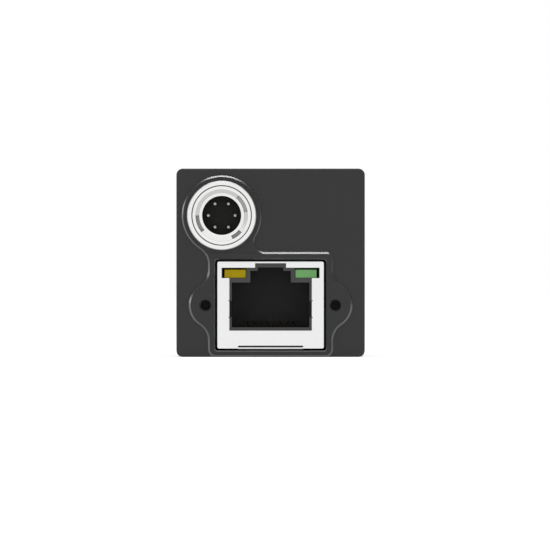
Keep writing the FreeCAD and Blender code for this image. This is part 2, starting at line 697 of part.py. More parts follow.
def jackShield():
    """Folded sheet: a box open towards the board, with a stepped window and a hemmed lower edge."""
    body = newBody("ethernet_jack_shield")
    outer = sketchOn(body, "XZ_Plane", jackSeat)
    rectangle(outer, around("0", "2 * jackHalfWidth"), ("jackBottom", "jackTop"))
    pad(body, outer, "jackFace - (%s)" % jackSeat)
    folds = [(side, height) for side in ("jackHalfWidth", "-jackHalfWidth")
             for height in ("jackTop", "jackBottom")]
    dressEdges(body, "Fillet", "sheetThickness", uprightAt(*folds))
    inner = sketchOn(body, "XZ_Plane", jackSeat)
    rectangle(inner, around("0", "2 * (jackHalfWidth - sheetThickness)"),
              ("jackBottom + sheetThickness", "jackTop - sheetThickness"))
    pocketRearward(body, inner, "jackFace - sheetThickness - (%s)" % jackSeat)
    hem = sketchOn(body, "XZ_Plane", "jackFace - hemLength")
    rectangle(hem, around("0", "2 * seamHalf"), ("hemBottom", "jackBottom + sheetThickness / 2"))
    pad(body, hem, "hemLength")
    window = sketchOn(body, "XZ_Plane", "jackFace")
    notchOuter = "windowHalf + windowNotch"
    symmetricOutline(window, [("latchHalf", "latchTop"), ("latchHalf", "ledBandTop"),
                              ("ledBandHalf", "ledBandTop"), ("ledBandHalf", "ledBandBottom"),
                              ("windowHalf", "ledBandBottom"), ("windowHalf", "springSlotTop + windowNotch"),
                              (notchOuter, "springSlotTop + windowNotch"), (notchOuter, "springSlotTop"),
                              ("windowHalf", "springSlotTop"), ("windowHalf", "springSlotBottom"),
                              (notchOuter, "springSlotBottom"),
                              (notchOuter, "springSlotBottom - windowNotch"),
                              ("windowHalf", "springSlotBottom - windowNotch"),
                              ("windowHalf", "windowBottom")])
    rectangle(window, around("0", "2 * seamHalf"), around("seamHeight", "seamWidth"))
    pocketForward(body, window, "sheetThickness")
    return body


def jackHousing():
    """Moulded body: the plug cavity with its latch steps, two light-guide bays and the contact bay."""
    body = newBody("ethernet_jack_housing")
    face = "jackFace - sheetThickness"
    outer = sketchOn(body, "XZ_Plane", jackSeat)
    rectangle(outer, around("0", "2 * moldingHalf"), ("moldingBottom", "moldingTop"))
    pad(body, outer, "%s - (%s)" % (face, jackSeat))
    cavity = sketchOn(body, "XZ_Plane", face)
    symmetricOutline(cavity, [("latchSlotHalf", "latchSlotTop"), ("latchSlotHalf", "latchStepTop"),
                              ("latchStepHalf", "latchStepTop"), ("latchStepHalf", "plugTop"),
                              ("plugHalf", "plugTop"), ("plugHalf", "plugBottom")])
    pocketForward(body, cavity, face + " - plugEnd")
    bays = sketchOn(body, "XZ_Plane", face)
    rectangle(bays, ("ledBayInner", "ledBayOuter"), ("ledBandBottom", "ledBayTop"))
    rectangle(bays, ("-ledBayOuter", "-ledBayInner"), ("ledBandBottom", "ledBayTop"))
    pocketForward(body, bays, face + " - ledEnd")
    springs = sketchOn(body, "XZ_Plane", face)
    rectangle(springs, ("springSlotInner", "springSlotOuter"), ("springSlotBottom", "springSlotTop"))
    rectangle(springs, ("-springSlotOuter", "-springSlotInner"), ("springSlotBottom", "springSlotTop"))
    pocketForward(body, springs, face + " - springSlotEnd")
    contactBay = sketchOn(body, "XZ_Plane", jackSeat)
    rectangle(contactBay, around("0", "2 * plugHalf"), ("insertBayBottom", "plugBottom"))
    pocketRearward(body, contactBay, "insertBayEnd - (%s)" % jackSeat)
    return body


def contactPlaces():
    return ["%g * contactPitch" % (number - 3.5) for number in range(8)]


def jackInsert():
    """The comb that carries the eight contacts."""
    body = newBody("ethernet_jack_insert")
    outer = sketchOn(body, "XZ_Plane", jackSeat)
    rectangle(outer, around("0", "2 * insertHalf"), ("insertBottom", "insertTop"))
    pad(body, outer, "insertEnd - (%s)" % jackSeat)
    slots = sketchOn(body, "XZ_Plane", jackSeat)
    upright = ("contactRun - contactThickness / 2", "plugBottom")
    for across in contactPlaces():
        rectangle(slots, around(across, "contactSlotWidth"), upright)
    pocketRearward(body, slots, "insertEnd - (%s)" % jackSeat)
    return body


def jackContacts():
    """Eight bent wires: along the comb, round the nose and back up into the plug cavity."""
    body = newBody("ethernet_jack_contacts")
    body.AllowCompound = True
    path = sketchOn(body, "YZ_Plane", "-3.5 * contactPitch")
    route = [(jackSeat, "contactRun"), ("contactBendDepth", "contactRun"),
             ("contactNoseDepth", "contactNoseLow"), ("contactNoseDepth", "contactNoseHigh"),
             ("contactTipDepth", "contactTip")]
    places = [Vector(-value(depth), value(height), 0) for depth, height in route]
    for index, (start, end) in enumerate(zip(places, places[1:])):
        path.addGeometry(Part.LineSegment(start, end))
        if index:
            path.addConstraint(Sketcher.Constraint("Coincident", index - 1, 2, index, 1))
        holdPoint(path, index, 1, minus(route[index][0]), route[index][1])
    holdPoint(path, len(route) - 2, 2, minus(route[-1][0]), route[-1][1])
    section = sketchOn(body, "XZ_Plane", jackSeat)
    rectangle(section, around("-3.5 * contactPitch", "contactWidth"), around("contactRun", "contactThickness"))
    document.recompute()
    wire = feature(body, "AdditivePipe", section, Spine=(path, []))
    wire.Transition = "Right corner"
    row = body.newObject("PartDesign::LinearPattern", "contact_row")
    row.Originals = [wire]
    row.Direction = (section, ["H_Axis"])
    bind(row, "Length", "7 * contactPitch")
    row.Occurrences = 8
    body.Tip = row
    document.recompute()
    return body


def lightGuide(label, side):
    across = ("ledInner", "ledOuter") if side > 0 else ("-ledOuter", "-ledInner")
    return block(label, across, ("ledEnd", "ledFace"), ("ledBandBottom", "ledTop"))


# Round connector, on its own axis

def onPlugAxis(body):
    return placeAt(body, "plugCentreX", "0", "plugCentreZ")


ringNutSeat = "rearFace + padHeight - roundPadStep"
plugFace = ringNutSeat + " + ringNutLength"
washerFront = "rearFace - rearWall - washerThickness"


def connectorShell():
    """A barrel with a collar that bears on the wall from inside, a ring groove and three deeper keyways."""
    body = newBody("io_connector_shell")
    collarFront = washerFront + " - collarLength"
    grooveFloor = plugFace + " - ringGrooveDepth"
    turned(body, [("socketRadius", "barrelEnd"), ("barrelRadius", "barrelEnd"),
                  ("barrelRadius", collarFront), ("collarRadius", collarFront),
                  ("collarRadius", washerFront), ("barrelRadius", washerFront), ("barrelRadius", plugFace),
                  ("ringGrooveOuter", plugFace), ("ringGrooveOuter", grooveFloor),
                  ("ringGrooveInner", grooveFloor), ("ringGrooveInner", plugFace), ("socketRadius", plugFace)])
    for start, reach in keyways:
        sketch = sketchOn(body, "XY_Plane")
        sketch.AttachmentOffset = Placement(Vector(), Rotation(Vector(0, 1, 0), start))
        rectangle(sketch, ("ringGrooveInner", "ringGrooveOuter"),
                  (minus(plugFace), minus(plugFace + " - keywayDepth")))
        feature(body, "Groove", sketch, ReferenceAxis=(sketch, ["V_Axis"]), Angle=float(reach))
    return onPlugAxis(body)


def connectorInsulator():
    body = newBody("io_connector_insulator")
    turned(body, [("0", "insulatorEnd"), ("insulatorShoulder", "insulatorEnd"),
                  ("insulatorShoulder", "barrelEnd"), ("socketRadius", "barrelEnd"),
                  ("socketRadius", "insulatorFace"), ("0", "insulatorFace")])
    holes = sketchOn(body, "XZ_Plane", "insulatorFace")
    for number in range(sizes["pinCount"]):
        angle = "360 deg * %d / pinCount" % number
        circle(holes, "pinCircle * cos(%s)" % angle, "pinCircle * sin(%s)" % angle, "pinRadius")
    pocketForward(body, holes, "insulatorFace - insulatorEnd")
    return onPlugAxis(body)


def connectorPins():
    body = newBody("io_connector_pins")
    body.AllowCompound = True
    sketch = sketchOn(body, "XZ_Plane", jackSeat)
    circle(sketch, "pinCircle", "0", "pinRadius")
    pin = pad(body, sketch, "pinTip - (%s)" % jackSeat)
    ring = body.newObject("PartDesign::PolarPattern", "pin_ring")
    ring.Originals = [pin]
    ring.Axis = (sketch, ["N_Axis"])
    ring.Angle = 360
    ring.Occurrences = sizes["pinCount"]
    body.Tip = ring
    document.recompute()
    return onPlugAxis(body)


def connectorWasher():
    body = newBody("io_connector_washer")
    turned(body, [("panelHoleRadius", washerFront), ("collarRadius", washerFront),
                  ("collarRadius", "rearFace - rearWall"), ("panelHoleRadius", "rearFace - rearWall")])
    return onPlugAxis(body)


def connectorNut():
    """The ring nut on the round pad, with a relief where its thread starts."""
    body = newBody("io_connector_nut")
    reliefFloor = plugFace + " - threadReliefDepth"
    turned(body, [("barrelRadius", ringNutSeat), ("ringNutRadius", ringNutSeat),
                  ("ringNutRadius", plugFace + " - ringNutChamfer"),
                  ("ringNutRadius - ringNutChamfer", plugFace),
                  ("threadReliefRadius", plugFace), ("threadReliefRadius", reliefFloor),
                  ("barrelRadius", reliefFloor)])
    return onPlugAxis(body)


nodes = [frontHousing(), rearShell(), shellScrews(), irFilter(), filterSeal(), filterRetainingRing(),
         *sensorStack(), *boardStack(), *boardParts(), *heatPath(),
         jackShield(), jackHousing(), jackInsert(), jackContacts(),
         lightGuide("ethernet_led_yellow", -1), lightGuide("ethernet_led_green", 1),
         connectorShell(), connectorInsulator(), connectorPins(), connectorWasher(), connectorNut()]
document.recompute()

for item in document.Objects:
    if "Invalid" in item.State or "Error" in item.State:
        raise RuntimeError("%s is in state %s" % (item.Label, item.State))
for node in nodes:
    if node.Shape.isNull() or not node.Shape.isValid():
        raise RuntimeError("%s has no valid shape" % node.Label)

os.makedirs("parts", exist_ok=True)
for node in nodes:
    node.Shape.exportStep("parts/%s.step" % node.Label)
    print("%-28s %2d solids %10.2f cubic mm" % (node.Label, len(node.Shape.Solids), node.Shape.Volume))
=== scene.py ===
import json
import math

import bmesh
import bpy
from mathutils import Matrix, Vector


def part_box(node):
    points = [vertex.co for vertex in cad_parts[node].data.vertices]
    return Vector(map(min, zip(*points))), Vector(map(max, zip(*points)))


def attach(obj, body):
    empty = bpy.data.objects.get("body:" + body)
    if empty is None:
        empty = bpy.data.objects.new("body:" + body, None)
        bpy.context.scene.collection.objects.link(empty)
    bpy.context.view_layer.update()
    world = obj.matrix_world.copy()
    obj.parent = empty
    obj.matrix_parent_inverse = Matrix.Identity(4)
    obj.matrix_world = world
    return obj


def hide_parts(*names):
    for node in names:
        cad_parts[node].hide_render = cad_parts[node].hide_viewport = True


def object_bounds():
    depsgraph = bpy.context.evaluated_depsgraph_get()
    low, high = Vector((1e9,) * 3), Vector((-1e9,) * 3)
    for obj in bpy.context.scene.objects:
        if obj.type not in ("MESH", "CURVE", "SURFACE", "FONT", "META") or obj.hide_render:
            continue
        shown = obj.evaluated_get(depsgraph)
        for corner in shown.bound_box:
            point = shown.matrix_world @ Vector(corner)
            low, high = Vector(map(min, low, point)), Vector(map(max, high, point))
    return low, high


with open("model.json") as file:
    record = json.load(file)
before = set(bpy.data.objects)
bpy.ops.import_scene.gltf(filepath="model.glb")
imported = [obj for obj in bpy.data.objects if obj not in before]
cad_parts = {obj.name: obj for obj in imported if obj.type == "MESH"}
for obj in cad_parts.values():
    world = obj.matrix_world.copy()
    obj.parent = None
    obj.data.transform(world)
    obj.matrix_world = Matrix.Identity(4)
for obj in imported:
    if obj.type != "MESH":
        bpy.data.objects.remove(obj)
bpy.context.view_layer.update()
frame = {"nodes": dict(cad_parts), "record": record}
scene = bpy.context.scene
scene.view_settings.view_transform = "Standard"
mm = 0.001
record = frame["record"]
shellLow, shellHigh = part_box("rear_shell")
print("frame loaded:", len(frame["nodes"]), "nodes")


def placed(name, data):
    made = bpy.data.objects.new(name, data)
    scene.collection.objects.link(made)
    return made


# Camera, square on the connector face and far enough off to look almost flat
viewSizes = {
    "aimX": 0.68 * mm, "aimZ": -1.88 * mm, "frameWidth": 84.6 * mm,
    "distance": 1.2, "sensorWidth": 36.0, "clipStart": 0.01, "clipEnd": 20.0,
}


def addCamera():
    v = viewSizes
    data = bpy.data.cameras.new("productCamera")
    data.sensor_fit = "HORIZONTAL"
    data.sensor_width = v["sensorWidth"]
    data.lens = v["sensorWidth"] * v["distance"] / v["frameWidth"]
    data.clip_start = v["clipStart"]
    data.clip_end = v["clipEnd"]
    camera = placed("productCamera", data)
    camera.location = (v["aimX"], shellLow.y - v["distance"], v["aimZ"])
    camera.rotation_euler = (math.radians(90), 0, 0)
    scene.camera = camera


addCamera()
print("camera placed")


# One socket's output: arithmetic on Signals adds Math nodes
class Signal:
    def __init__(self, tree, socket):
        self.tree = tree
        self.socket = socket

    def __add__(self, other):
        return self.tree.math("ADD", self, other)

    def __sub__(self, other):
        return self.tree.math("SUBTRACT", self, other)

    def __rsub__(self, other):
        return self.tree.math("SUBTRACT", other, self)

    def __mul__(self, other):
        return self.tree.math("MULTIPLY", self, other)

    def __truediv__(self, other):
        return self.tree.math("DIVIDE", self, other)

    def __neg__(self):
        return self.tree.math("MULTIPLY", self, -1.0)

    __radd__ = __add__
    __rmul__ = __mul__


# What material and geometry trees share
class Tree:
    def __init__(self, nodeTree):
        self.nodeTree = nodeTree

    def put(self, socket, value):
        if isinstance(value, Signal):
            self.nodeTree.links.new(value.socket, socket)
        else:
            socket.default_value = value

    def node(self, kind, values=None, settings=None, output=0):
        made = self.nodeTree.nodes.new(kind)
        for name, setting in (settings or {}).items():
            setattr(made, name, setting)
        for key, value in (values or {}).items():
            self.put(made.inputs[key], value)
        return Signal(self, made.outputs[output])

    def math(self, operation, *values, clamp=False):
        return self.node("ShaderNodeMath", dict(enumerate(values)),
                         {"operation": operation, "use_clamp": clamp})

    # A soft step from 0 below low to 1 above high
    def step(self, value, low, high):
        return self.node("ShaderNodeMapRange", {"Value": value, "From Min": low, "From Max": high},
                         {"interpolation_type": "SMOOTHSTEP"})

    # 1 inside a box about the origin of two coordinates
    def inside(self, first, second, halfFirst, halfSecond):
        return (self.math("LESS_THAN", self.math("ABSOLUTE", first), halfFirst)
                * self.math("LESS_THAN", self.math("ABSOLUTE", second), halfSecond))

    def parts(self, vector):
        split = self.nodeTree.nodes.new("ShaderNodeSeparateXYZ")
        self.put(split.inputs[0], vector)
        return [Signal(self, output) for output in split.outputs]

    def vector(self, x=0.0, y=0.0, z=0.0):
        return self.node("ShaderNodeCombineXYZ", {0: x, 1: y, 2: z})


# A finish is a material built round one Principled shader
class Finish(Tree):
    def __init__(self, name, constants=None):
        self.material = bpy.data.materials.new(name)
        self.material.use_nodes = True
        super().__init__(self.material.node_tree)
        self.shader = self.nodeTree.nodes["Principled BSDF"]
        for name, value in (constants or {}).items():
            self.set(name, value)

    def set(self, name, value):
        self.put(self.shader.inputs[name], (*value, 1.0) if isinstance(value, tuple) else value)

    def place(self):
        return self.node("ShaderNodeTexCoord", output="Object")

    def mapped(self, location=(0, 0, 0), scale=(1, 1, 1)):
        return self.node("ShaderNodeMapping", {"Vector": self.place(), "Location": location, "Scale": scale})

    def noise(self, scale, detail, vector=None):
        return self.node("ShaderNodeTexNoise", {"Vector": vector or self.place(), "Scale": scale,
                                                "Detail": detail})

    # The colour sockets of a Mix node are 6 and 7, and its colour output is 2
    def blend(self, factor, first, second):
        made = self.nodeTree.nodes.new("ShaderNodeMix")
        made.data_type = "RGBA"
        for index, value in ((0, factor), (6, first), (7, second)):
            self.put(made.inputs[index], (*value, 1.0) if isinstance(value, tuple) else value)
        return Signal(self, made.outputs[2])

    # Drifts between a darker and a lighter tone of one colour
    def mottled(self, cloud, color, tones):
        dark, light = tones
        return self.blend(cloud, shade(color, dark), shade(color, light))

    # A roughness that wanders about its middle value
    def uneven(self, roughness, *swings):
        for texture, swing in swings:
            roughness = roughness + (texture - 0.5) * swing
        return roughness

    def bump(self, height, strength, distance):
        self.set("Normal", self.node("ShaderNodeBump", {"Strength": strength, "Distance": distance,
                                                        "Height": height}))

    # Stripes along one coordinate: 1 inside each stripe, which fills a share of the pitch
    def stripes(self, value, pitch, share):
        return self.math("LESS_THAN", self.math("FRACT", value / pitch), share)

    def grid(self, first, second, pitch, share):
        return self.stripes(first, pitch, share) * self.stripes(second, pitch, share)


def shade(color, factor):
    return tuple(min(channel * factor, 1.0) for channel in color)


inputKinds = {int: "NodeSocketInt", float: "NodeSocketFloat"}


# A Geometry Nodes tree with named inputs, run once on an empty piece or along a path
class Recipe(Tree):
    def __init__(self, name, inputs, path=()):
        super().__init__(bpy.data.node_groups.new(name, "GeometryNodeTree"))
        self.inputs = inputs
        self.identifiers = {}
        self.path = path
        if path:
            self.nodeTree.interface.new_socket("Path", in_out="INPUT", socket_type="NodeSocketGeometry")
        self.nodeTree.interface.new_socket("Geometry", in_out="OUTPUT", socket_type="NodeSocketGeometry")
        for label, value in inputs.items():
            made = self.nodeTree.interface.new_socket(label, in_out="INPUT",
                                                      socket_type=inputKinds[type(value)])
            self.identifiers[label] = made.identifier
        self.start = self.nodeTree.nodes.new("NodeGroupInput")

    def given(self, label):
        return Signal(self, self.start.outputs[label])

    def allGiven(self, *labels):
        return [self.given(label) for label in labels]

    def joined(self, *parts):
        made = self.nodeTree.nodes.new("GeometryNodeJoinGeometry")
        for part in parts:
            self.nodeTree.links.new(part.socket, made.inputs[0])
        return Signal(self, made.outputs[0])

    def moved(self, geometry, place=(0, 0, 0), turn=(0, 0, 0), scale=(1, 1, 1)):
        return self.node("GeometryNodeTransform", {"Geometry": geometry, "Translation": place,
                                                   "Rotation": turn, "Scale": scale})

    def painted(self, geometry, material):
        return self.node("GeometryNodeSetMaterial", {"Geometry": geometry, "Material": material})

    def swept(self, curve, profile):
        return self.node("GeometryNodeCurveToMesh", {"Curve": curve, "Profile Curve": profile,
                                                     "Fill Caps": True})

    def box(self, size, place=(0, 0, 0)):
        return self.moved(self.node("GeometryNodeMeshCube", {"Size": size}), place)

    def strip(self, width, height):
        return self.node("GeometryNodeCurvePrimitiveQuadrilateral", {"Width": width, "Height": height})

    # Points in a row along the second axis, centred on the origin
    def row(self, count, pitch, x=0.0):
        start = self.vector(x, (count - 1) * pitch * -0.5)
        return self.node("GeometryNodeMeshLine", {"Count": count, "Start Location": start,
                                                  "Offset": self.vector(0.0, pitch, 0.0)})

    # Copies at each point of a mesh or a set of points
    def repeated(self, points, piece, chosen=True):
        return self.node("GeometryNodeInstanceOnPoints", {"Points": points, "Instance": piece,
                                                          "Selection": chosen})

    # Ends the tree and returns the plain piece that it makes
    def make(self, name, geometry, material=None):
        whole = self.node("GeometryNodeRealizeInstances", {0: geometry})
        if material:
            whole = self.painted(whole, material)
        self.put(self.nodeTree.nodes.new("NodeGroupOutput").inputs[0], whole)
        start = bpy.data.meshes.new(name + "Start")
        start.from_pydata(self.path, [(index, index + 1) for index in range(len(self.path) - 1)], [])
        piece = placed(name, start)
        modifier = piece.modifiers.new(self.nodeTree.name, "NODES")
        modifier.node_group = self.nodeTree
        for label, value in self.inputs.items():
            modifier[self.identifiers[label]] = value
        return madePlain(piece)


def madePlain(piece):
    depsgraph = bpy.context.evaluated_depsgraph_get()
    mesh = bpy.data.meshes.new_from_object(piece.evaluated_get(depsgraph), depsgraph=depsgraph)
    mesh.name = piece.name + "Mesh"
    piece.modifiers.clear()
    piece.data = mesh
    return piece


meshSizes = {
    "weld": 0.0005 * mm, "flatAngle": math.radians(0.5), "sharpAngle": math.radians(30.0),
    "bevelSegments": 2, "flatWeight": 90,
}


# Copies a CAD solid, to replace it once it is cut, rounded and smoothed
def solidCopy(node, name):
    mesh = frame["nodes"][node].data.copy()
    mesh.name = name + "Mesh"
    work = bmesh.new()
    work.from_mesh(mesh)
    bmesh.ops.remove_doubles(work, verts=work.verts, dist=meshSizes["weld"])
    bmesh.ops.dissolve_limit(work, angle_limit=meshSizes["flatAngle"], verts=work.verts, edges=work.edges)
    work.to_mesh(mesh)
    work.free()
    return placed(name, mesh)


def carve(piece, cutter):
    modifier = piece.modifiers.new("carve", "BOOLEAN")
    modifier.object = cutter
    modifier.solver = "EXACT"
    madePlain(piece)
    bpy.data.objects.remove(cutter)


# Rounds the sharp edges a little, then smooths the rest and keeps flat faces flat
def smoothed(piece, edgeWidth=0.0):
    if edgeWidth:
        bevel = piece.modifiers.new("edges", "BEVEL")
        bevel.width = edgeWidth
        bevel.segments = meshSizes["bevelSegments"]
        bevel.limit_method = "ANGLE"
        bevel.angle_limit = meshSizes["sharpAngle"]
        madePlain(piece)
    work = bmesh.new()
    work.from_mesh(piece.data)
    for edge in work.edges:
        edge.smooth = edge.is_manifold and edge.calc_face_angle() < meshSizes["sharpAngle"]
    for face in work.faces:
        face.smooth = True
    work.to_mesh(piece.data)
    work.free()
    weigh = piece.modifiers.new("flats", "WEIGHTED_NORMAL")
    weigh.keep_sharp = True
    weigh.weight = meshSizes["flatWeight"]
    return madePlain(piece)


# Gives a piece its material, and others where a face passes their tests
def coat(piece, material, others=()):
    piece.data.materials.clear()
    for extra in (material, *(extra for extra, wanted in others)):
        piece.data.materials.append(extra)
    for face in piece.data.polygons:
        face.material_index = 0
        for index, (extra, wanted) in enumerate(others, 1):
            if wanted(face):
                face.material_index = index


slotOf = {row["node"]: row["material_slot"] for row in record["subparts"]}


def fit(piece, slot, *nodes):
    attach(piece, "root")
    if nodes:
        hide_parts(*nodes)


# A copy of one node with rounded edges and its finish
def dressed(node, name, material, edgeWidth=0.0, others=(), cutters=(), reshape=None):
    piece = solidCopy(node, name)
    if reshape:
        reshape(piece)
    for cutter in cutters:
        carve(piece, cutter)
    smoothed(piece, edgeWidth)
    coat(piece, material, others)
    fit(piece, slotOf[node], node)


# The places of a record's mount: one, or each of its holes
def mountPlaces(name):
    mount = next(row for row in record["mounts"] if row["name"] == name)
    sizes = mount["dims"]
    acrossHalf, alongHalf = (sizes.get(key, 0.0) / 2 * mm for key in ("spacing_x_mm", "spacing_y_mm"))
    acrossSides, alongSides = (((-1, 1) if acrossHalf else (0,)), ((1, -1) if alongHalf else (0,)))
    x, y, z = mount["pos_m"]
    return [(x + across * acrossHalf, y + along * alongHalf, z) for across in acrossSides
            for along in alongSides]


# Threads, whose section is in shares of the pitch and depth
threadSizes = {
    "lensMount": {"bore": 12.27 * mm, "depth": 0.43 * mm, "pitch": 25.4 / 32 * mm, "turns": 7.2, "steps": 72},
    "baseHole": {"bore": 1.25 * mm, "depth": 0.25 * mm, "pitch": 0.5 * mm, "turns": 6.0, "steps": 24},
    "lockHole": {"bore": 0.8 * mm, "depth": 0.2 * mm, "pitch": 0.4 * mm, "turns": 9.5, "steps": 20},
}
threadForm = {"sunk": 0.45, "rootWidth": 0.8, "crestWidth": 0.13, "height": 1.1, "overrun": 0.3 * mm}


# A tapering strip wound up each hole, to cut out of the copy that has the holes
def threadCutter(name, places, turn=(0.0, 0.0, 0.0)):
    v, form = threadSizes[name], threadForm
    recipe = Recipe(name + "Thread", {"Bore": v["bore"], "Pitch": v["pitch"], "Depth": v["depth"],
                                      "Turns": v["turns"], "Steps": v["steps"]})
    bore, pitch, depth, turns = recipe.allGiven("Bore", "Pitch", "Depth", "Turns")
    radius = bore + depth * form["sunk"]
    winding = recipe.node("GeometryNodeCurveSpiral", {
        "Resolution": recipe.given("Steps"), "Rotations": turns, "Start Radius": radius,
        "End Radius": radius, "Height": turns * pitch, "Reverse": True})
    winding = recipe.node("GeometryNodeSetCurveNormal", {"Curve": winding}, {"mode": "Z_UP"})
    section = recipe.node("GeometryNodeCurvePrimitiveQuadrilateral", {
        "Bottom Width": pitch * form["rootWidth"], "Top Width": pitch * form["crestWidth"], "Offset": 0.0,
        "Height": depth * form["height"]}, {"mode": "TRAPEZOID"})
    strip = recipe.swept(winding, recipe.moved(section, turn=(0, 0, -math.pi / 2)))
    strip = recipe.moved(strip, turn=turn)
    strips = recipe.joined(*(recipe.moved(strip, place=place) for place in places))
    return recipe.make(name + "Cutter", strips)


housingLow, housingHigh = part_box("front_housing")
overrun = threadForm["overrun"]
lockPlaces = mountPlaces("cable_lock_holes")
lensThread = threadCutter("lensMount", [(0, housingHigh.y + overrun, 0)], (math.pi / 2, 0, 0))
baseThreads = threadCutter("baseHole", [(x, y, housingLow.z - overrun)
                                        for x, y, z in mountPlaces("base_holes")])
lockThreads = threadCutter("lockHole", [(x, shellLow.y - overrun, z) for x, y, z in lockPlaces],
                           (-math.pi / 2, 0, 0))
print("thread cutters made")

housingLook = {
    "color": (0.034, 0.034, 0.0345), "tones": (0.94, 1.06), "roughness": 0.45, "specular": 0.3,
    "grainScale": 9000.0, "cloudScale": 180.0, "grainDepth": 0.004 * mm, "grainStrength": 0.35,
}


# Blasted aluminium with a fine matte black finish
def housingFinish():
    v = housingLook
    finish = Finish("housingFinish", {"Specular IOR Level": v["specular"]})
    grain = finish.noise(v["grainScale"], 3.0)
    cloud = finish.noise(v["cloudScale"], 3.0)
    finish.set("Base Color", finish.mottled(cloud, v["color"], v["tones"]))
    finish.set("Roughness", finish.uneven(v["roughness"], (cloud, 0.1), (grain, 0.08)))
    finish.bump(grain, v["grainStrength"], v["grainDepth"])
    return finish.material


cutEdgeLook = {"color": (0.15, 0.15, 0.152), "tones": (0.85, 1.15), "roughness": 0.3,
               "millScale": 6000.0, "cloudScale": 500.0}


# Edges cut after the blasting, smoother than the rest, so that they catch the light
def cutEdgeFinish():
    v = cutEdgeLook
    finish = Finish("cutEdgeFinish", {"Metallic": 1.0})
    mill = finish.noise(v["millScale"], 2.0)
    cloud = finish.noise(v["cloudScale"], 2.0)
    finish.set("Base Color", finish.mottled(cloud, v["color"], v["tones"]))
    finish.set("Roughness", finish.uneven(v["roughness"], (mill, 0.12)))
    return finish.material


tinLook = {
    "color": (0.785, 0.79, 0.785), "tones": (0.97, 1.0), "hem": (0.62, 0.625, 0.62), "roughness": 0.3,
    "rollScale": (90.0, 4000.0, 1600.0), "rollDepth": 0.0015 * mm, "cloudScale": 260.0,
    "hemMiddle": -13.06 * mm, "hemHalfHeight": 0.19 * mm, "hemHalfWidth": 5.0 * mm,
    "crease": (0.16, 0.16, 0.16), "creaseMiddle": -12.89 * mm, "creaseHalfHeight": 0.11 * mm,
}


# Rolled sheet with a bright plating, duller where the lower edge is hemmed, and painted shade darkening the
# crease above
def tinFinish():
    v = tinLook
    finish = Finish("tinPlateFinish", {"Metallic": 1.0})
    across, depth, up = finish.parts(finish.place())
    rolled = finish.noise(1.0, 3.0, finish.mapped(scale=v["rollScale"]))
    cloud = finish.noise(v["cloudScale"], 4.0)
    hem = finish.inside(across, up - v["hemMiddle"], v["hemHalfWidth"], v["hemHalfHeight"])
    plain = finish.mottled(cloud, v["color"], v["tones"])
    # Painted shade: a dark band along the crease above the hem
    crease = finish.inside(across, up - v["creaseMiddle"], v["hemHalfWidth"], v["creaseHalfHeight"])
    finish.set("Base Color", finish.blend(crease, finish.blend(hem, plain, v["hem"]), v["crease"]))
    finish.set("Roughness", finish.uneven(v["roughness"], (cloud, 0.16), (rolled, 0.1)))
    finish.bump(rolled, 0.3, v["rollDepth"])
    return finish.material


turnedLooks = {
    # The groove and keyway colours are painted shade in the connector's recesses
    "connectorMetal": {"color": (0.83, 0.83, 0.825), "roughness": 0.24, "rings": 16000.0,
                       "groove": (0.56, 0.56, 0.555), "keywayShade": (0.27, 0.27, 0.265)},
    # Painted shade: dark metal for the thread relief of the nut
    "recessedMetal": {"color": (0.13, 0.13, 0.13), "roughness": 0.4, "rings": 12000.0},
    # Painted shade: dimmer metal on the nut's outer side, which keeps it from catching the light
    "turnedSide": {"color": (0.42, 0.42, 0.415), "roughness": 0.5, "rings": 9000.0},
    "nickelBrass": {"color": (0.72, 0.69, 0.61), "roughness": 0.28, "rings": 12000.0},
    "retainer": {"color": (0.045, 0.045, 0.047), "roughness": 0.38, "rings": 9000.0},
}
# Where painted shade darkens the round connector's groove and keyways, and painted light lifts the lower
# groove and the upper right keyway, measured back from its front or out from its axis
recessSizes = {
    "groove": (0.1 * mm, 0.4 * mm), "grooveShadow": (0.5 * mm, 3.0 * mm), "keywayShade": (0.6 * mm, 2.2 * mm),
    "keywayLight": (1.0 * mm, 2.5 * mm),
}


# Fine rings about an axis along Y, and where a front is given, painted shade in the groove and keyways, with
# painted light at the groove's bottom and in the upper right keyway
def turnedFinish(name, x=0.0, z=0.0, front=None):
    v = turnedLooks[name]
    finish = Finish(name + "Finish", {"Metallic": 1.0})
    across, depth, up = finish.parts(finish.mapped(location=(-x, 0, -z)))
    radius = finish.math("SQRT", across * across + up * up)
    rings = finish.noise(1.0, 2.0, finish.vector(radius * v["rings"], depth * v["rings"]))
    cloud = finish.noise(320.0, 3.0)
    color = finish.mottled(cloud, v["color"], (0.96, 1.0))
    if front is not None:
        sizes = recessSizes
        behind = depth - front
        # Painted shade in the groove and keyways, with painted light at the groove's bottom and in the upper
        # right keyway
        groove = finish.blend(finish.step(-up, *sizes["grooveShadow"]), v["groove"], shade(v["color"], 0.96))
        color = finish.blend(finish.step(behind, *sizes["groove"]), color, groove)
        lit = finish.step(across + up, *sizes["keywayLight"])
        keywayShade = finish.blend(lit, v["keywayShade"], shade(v["groove"], 0.75))
        color = finish.blend(finish.step(behind, *sizes["keywayShade"]), color, keywayShade)
    finish.set("Base Color", color)
    finish.set("Roughness", finish.uneven(v["roughness"], (rings, 0.14), (cloud, 0.08)))
    finish.bump(rings, 0.25, 0.001 * mm)
    return finish.material


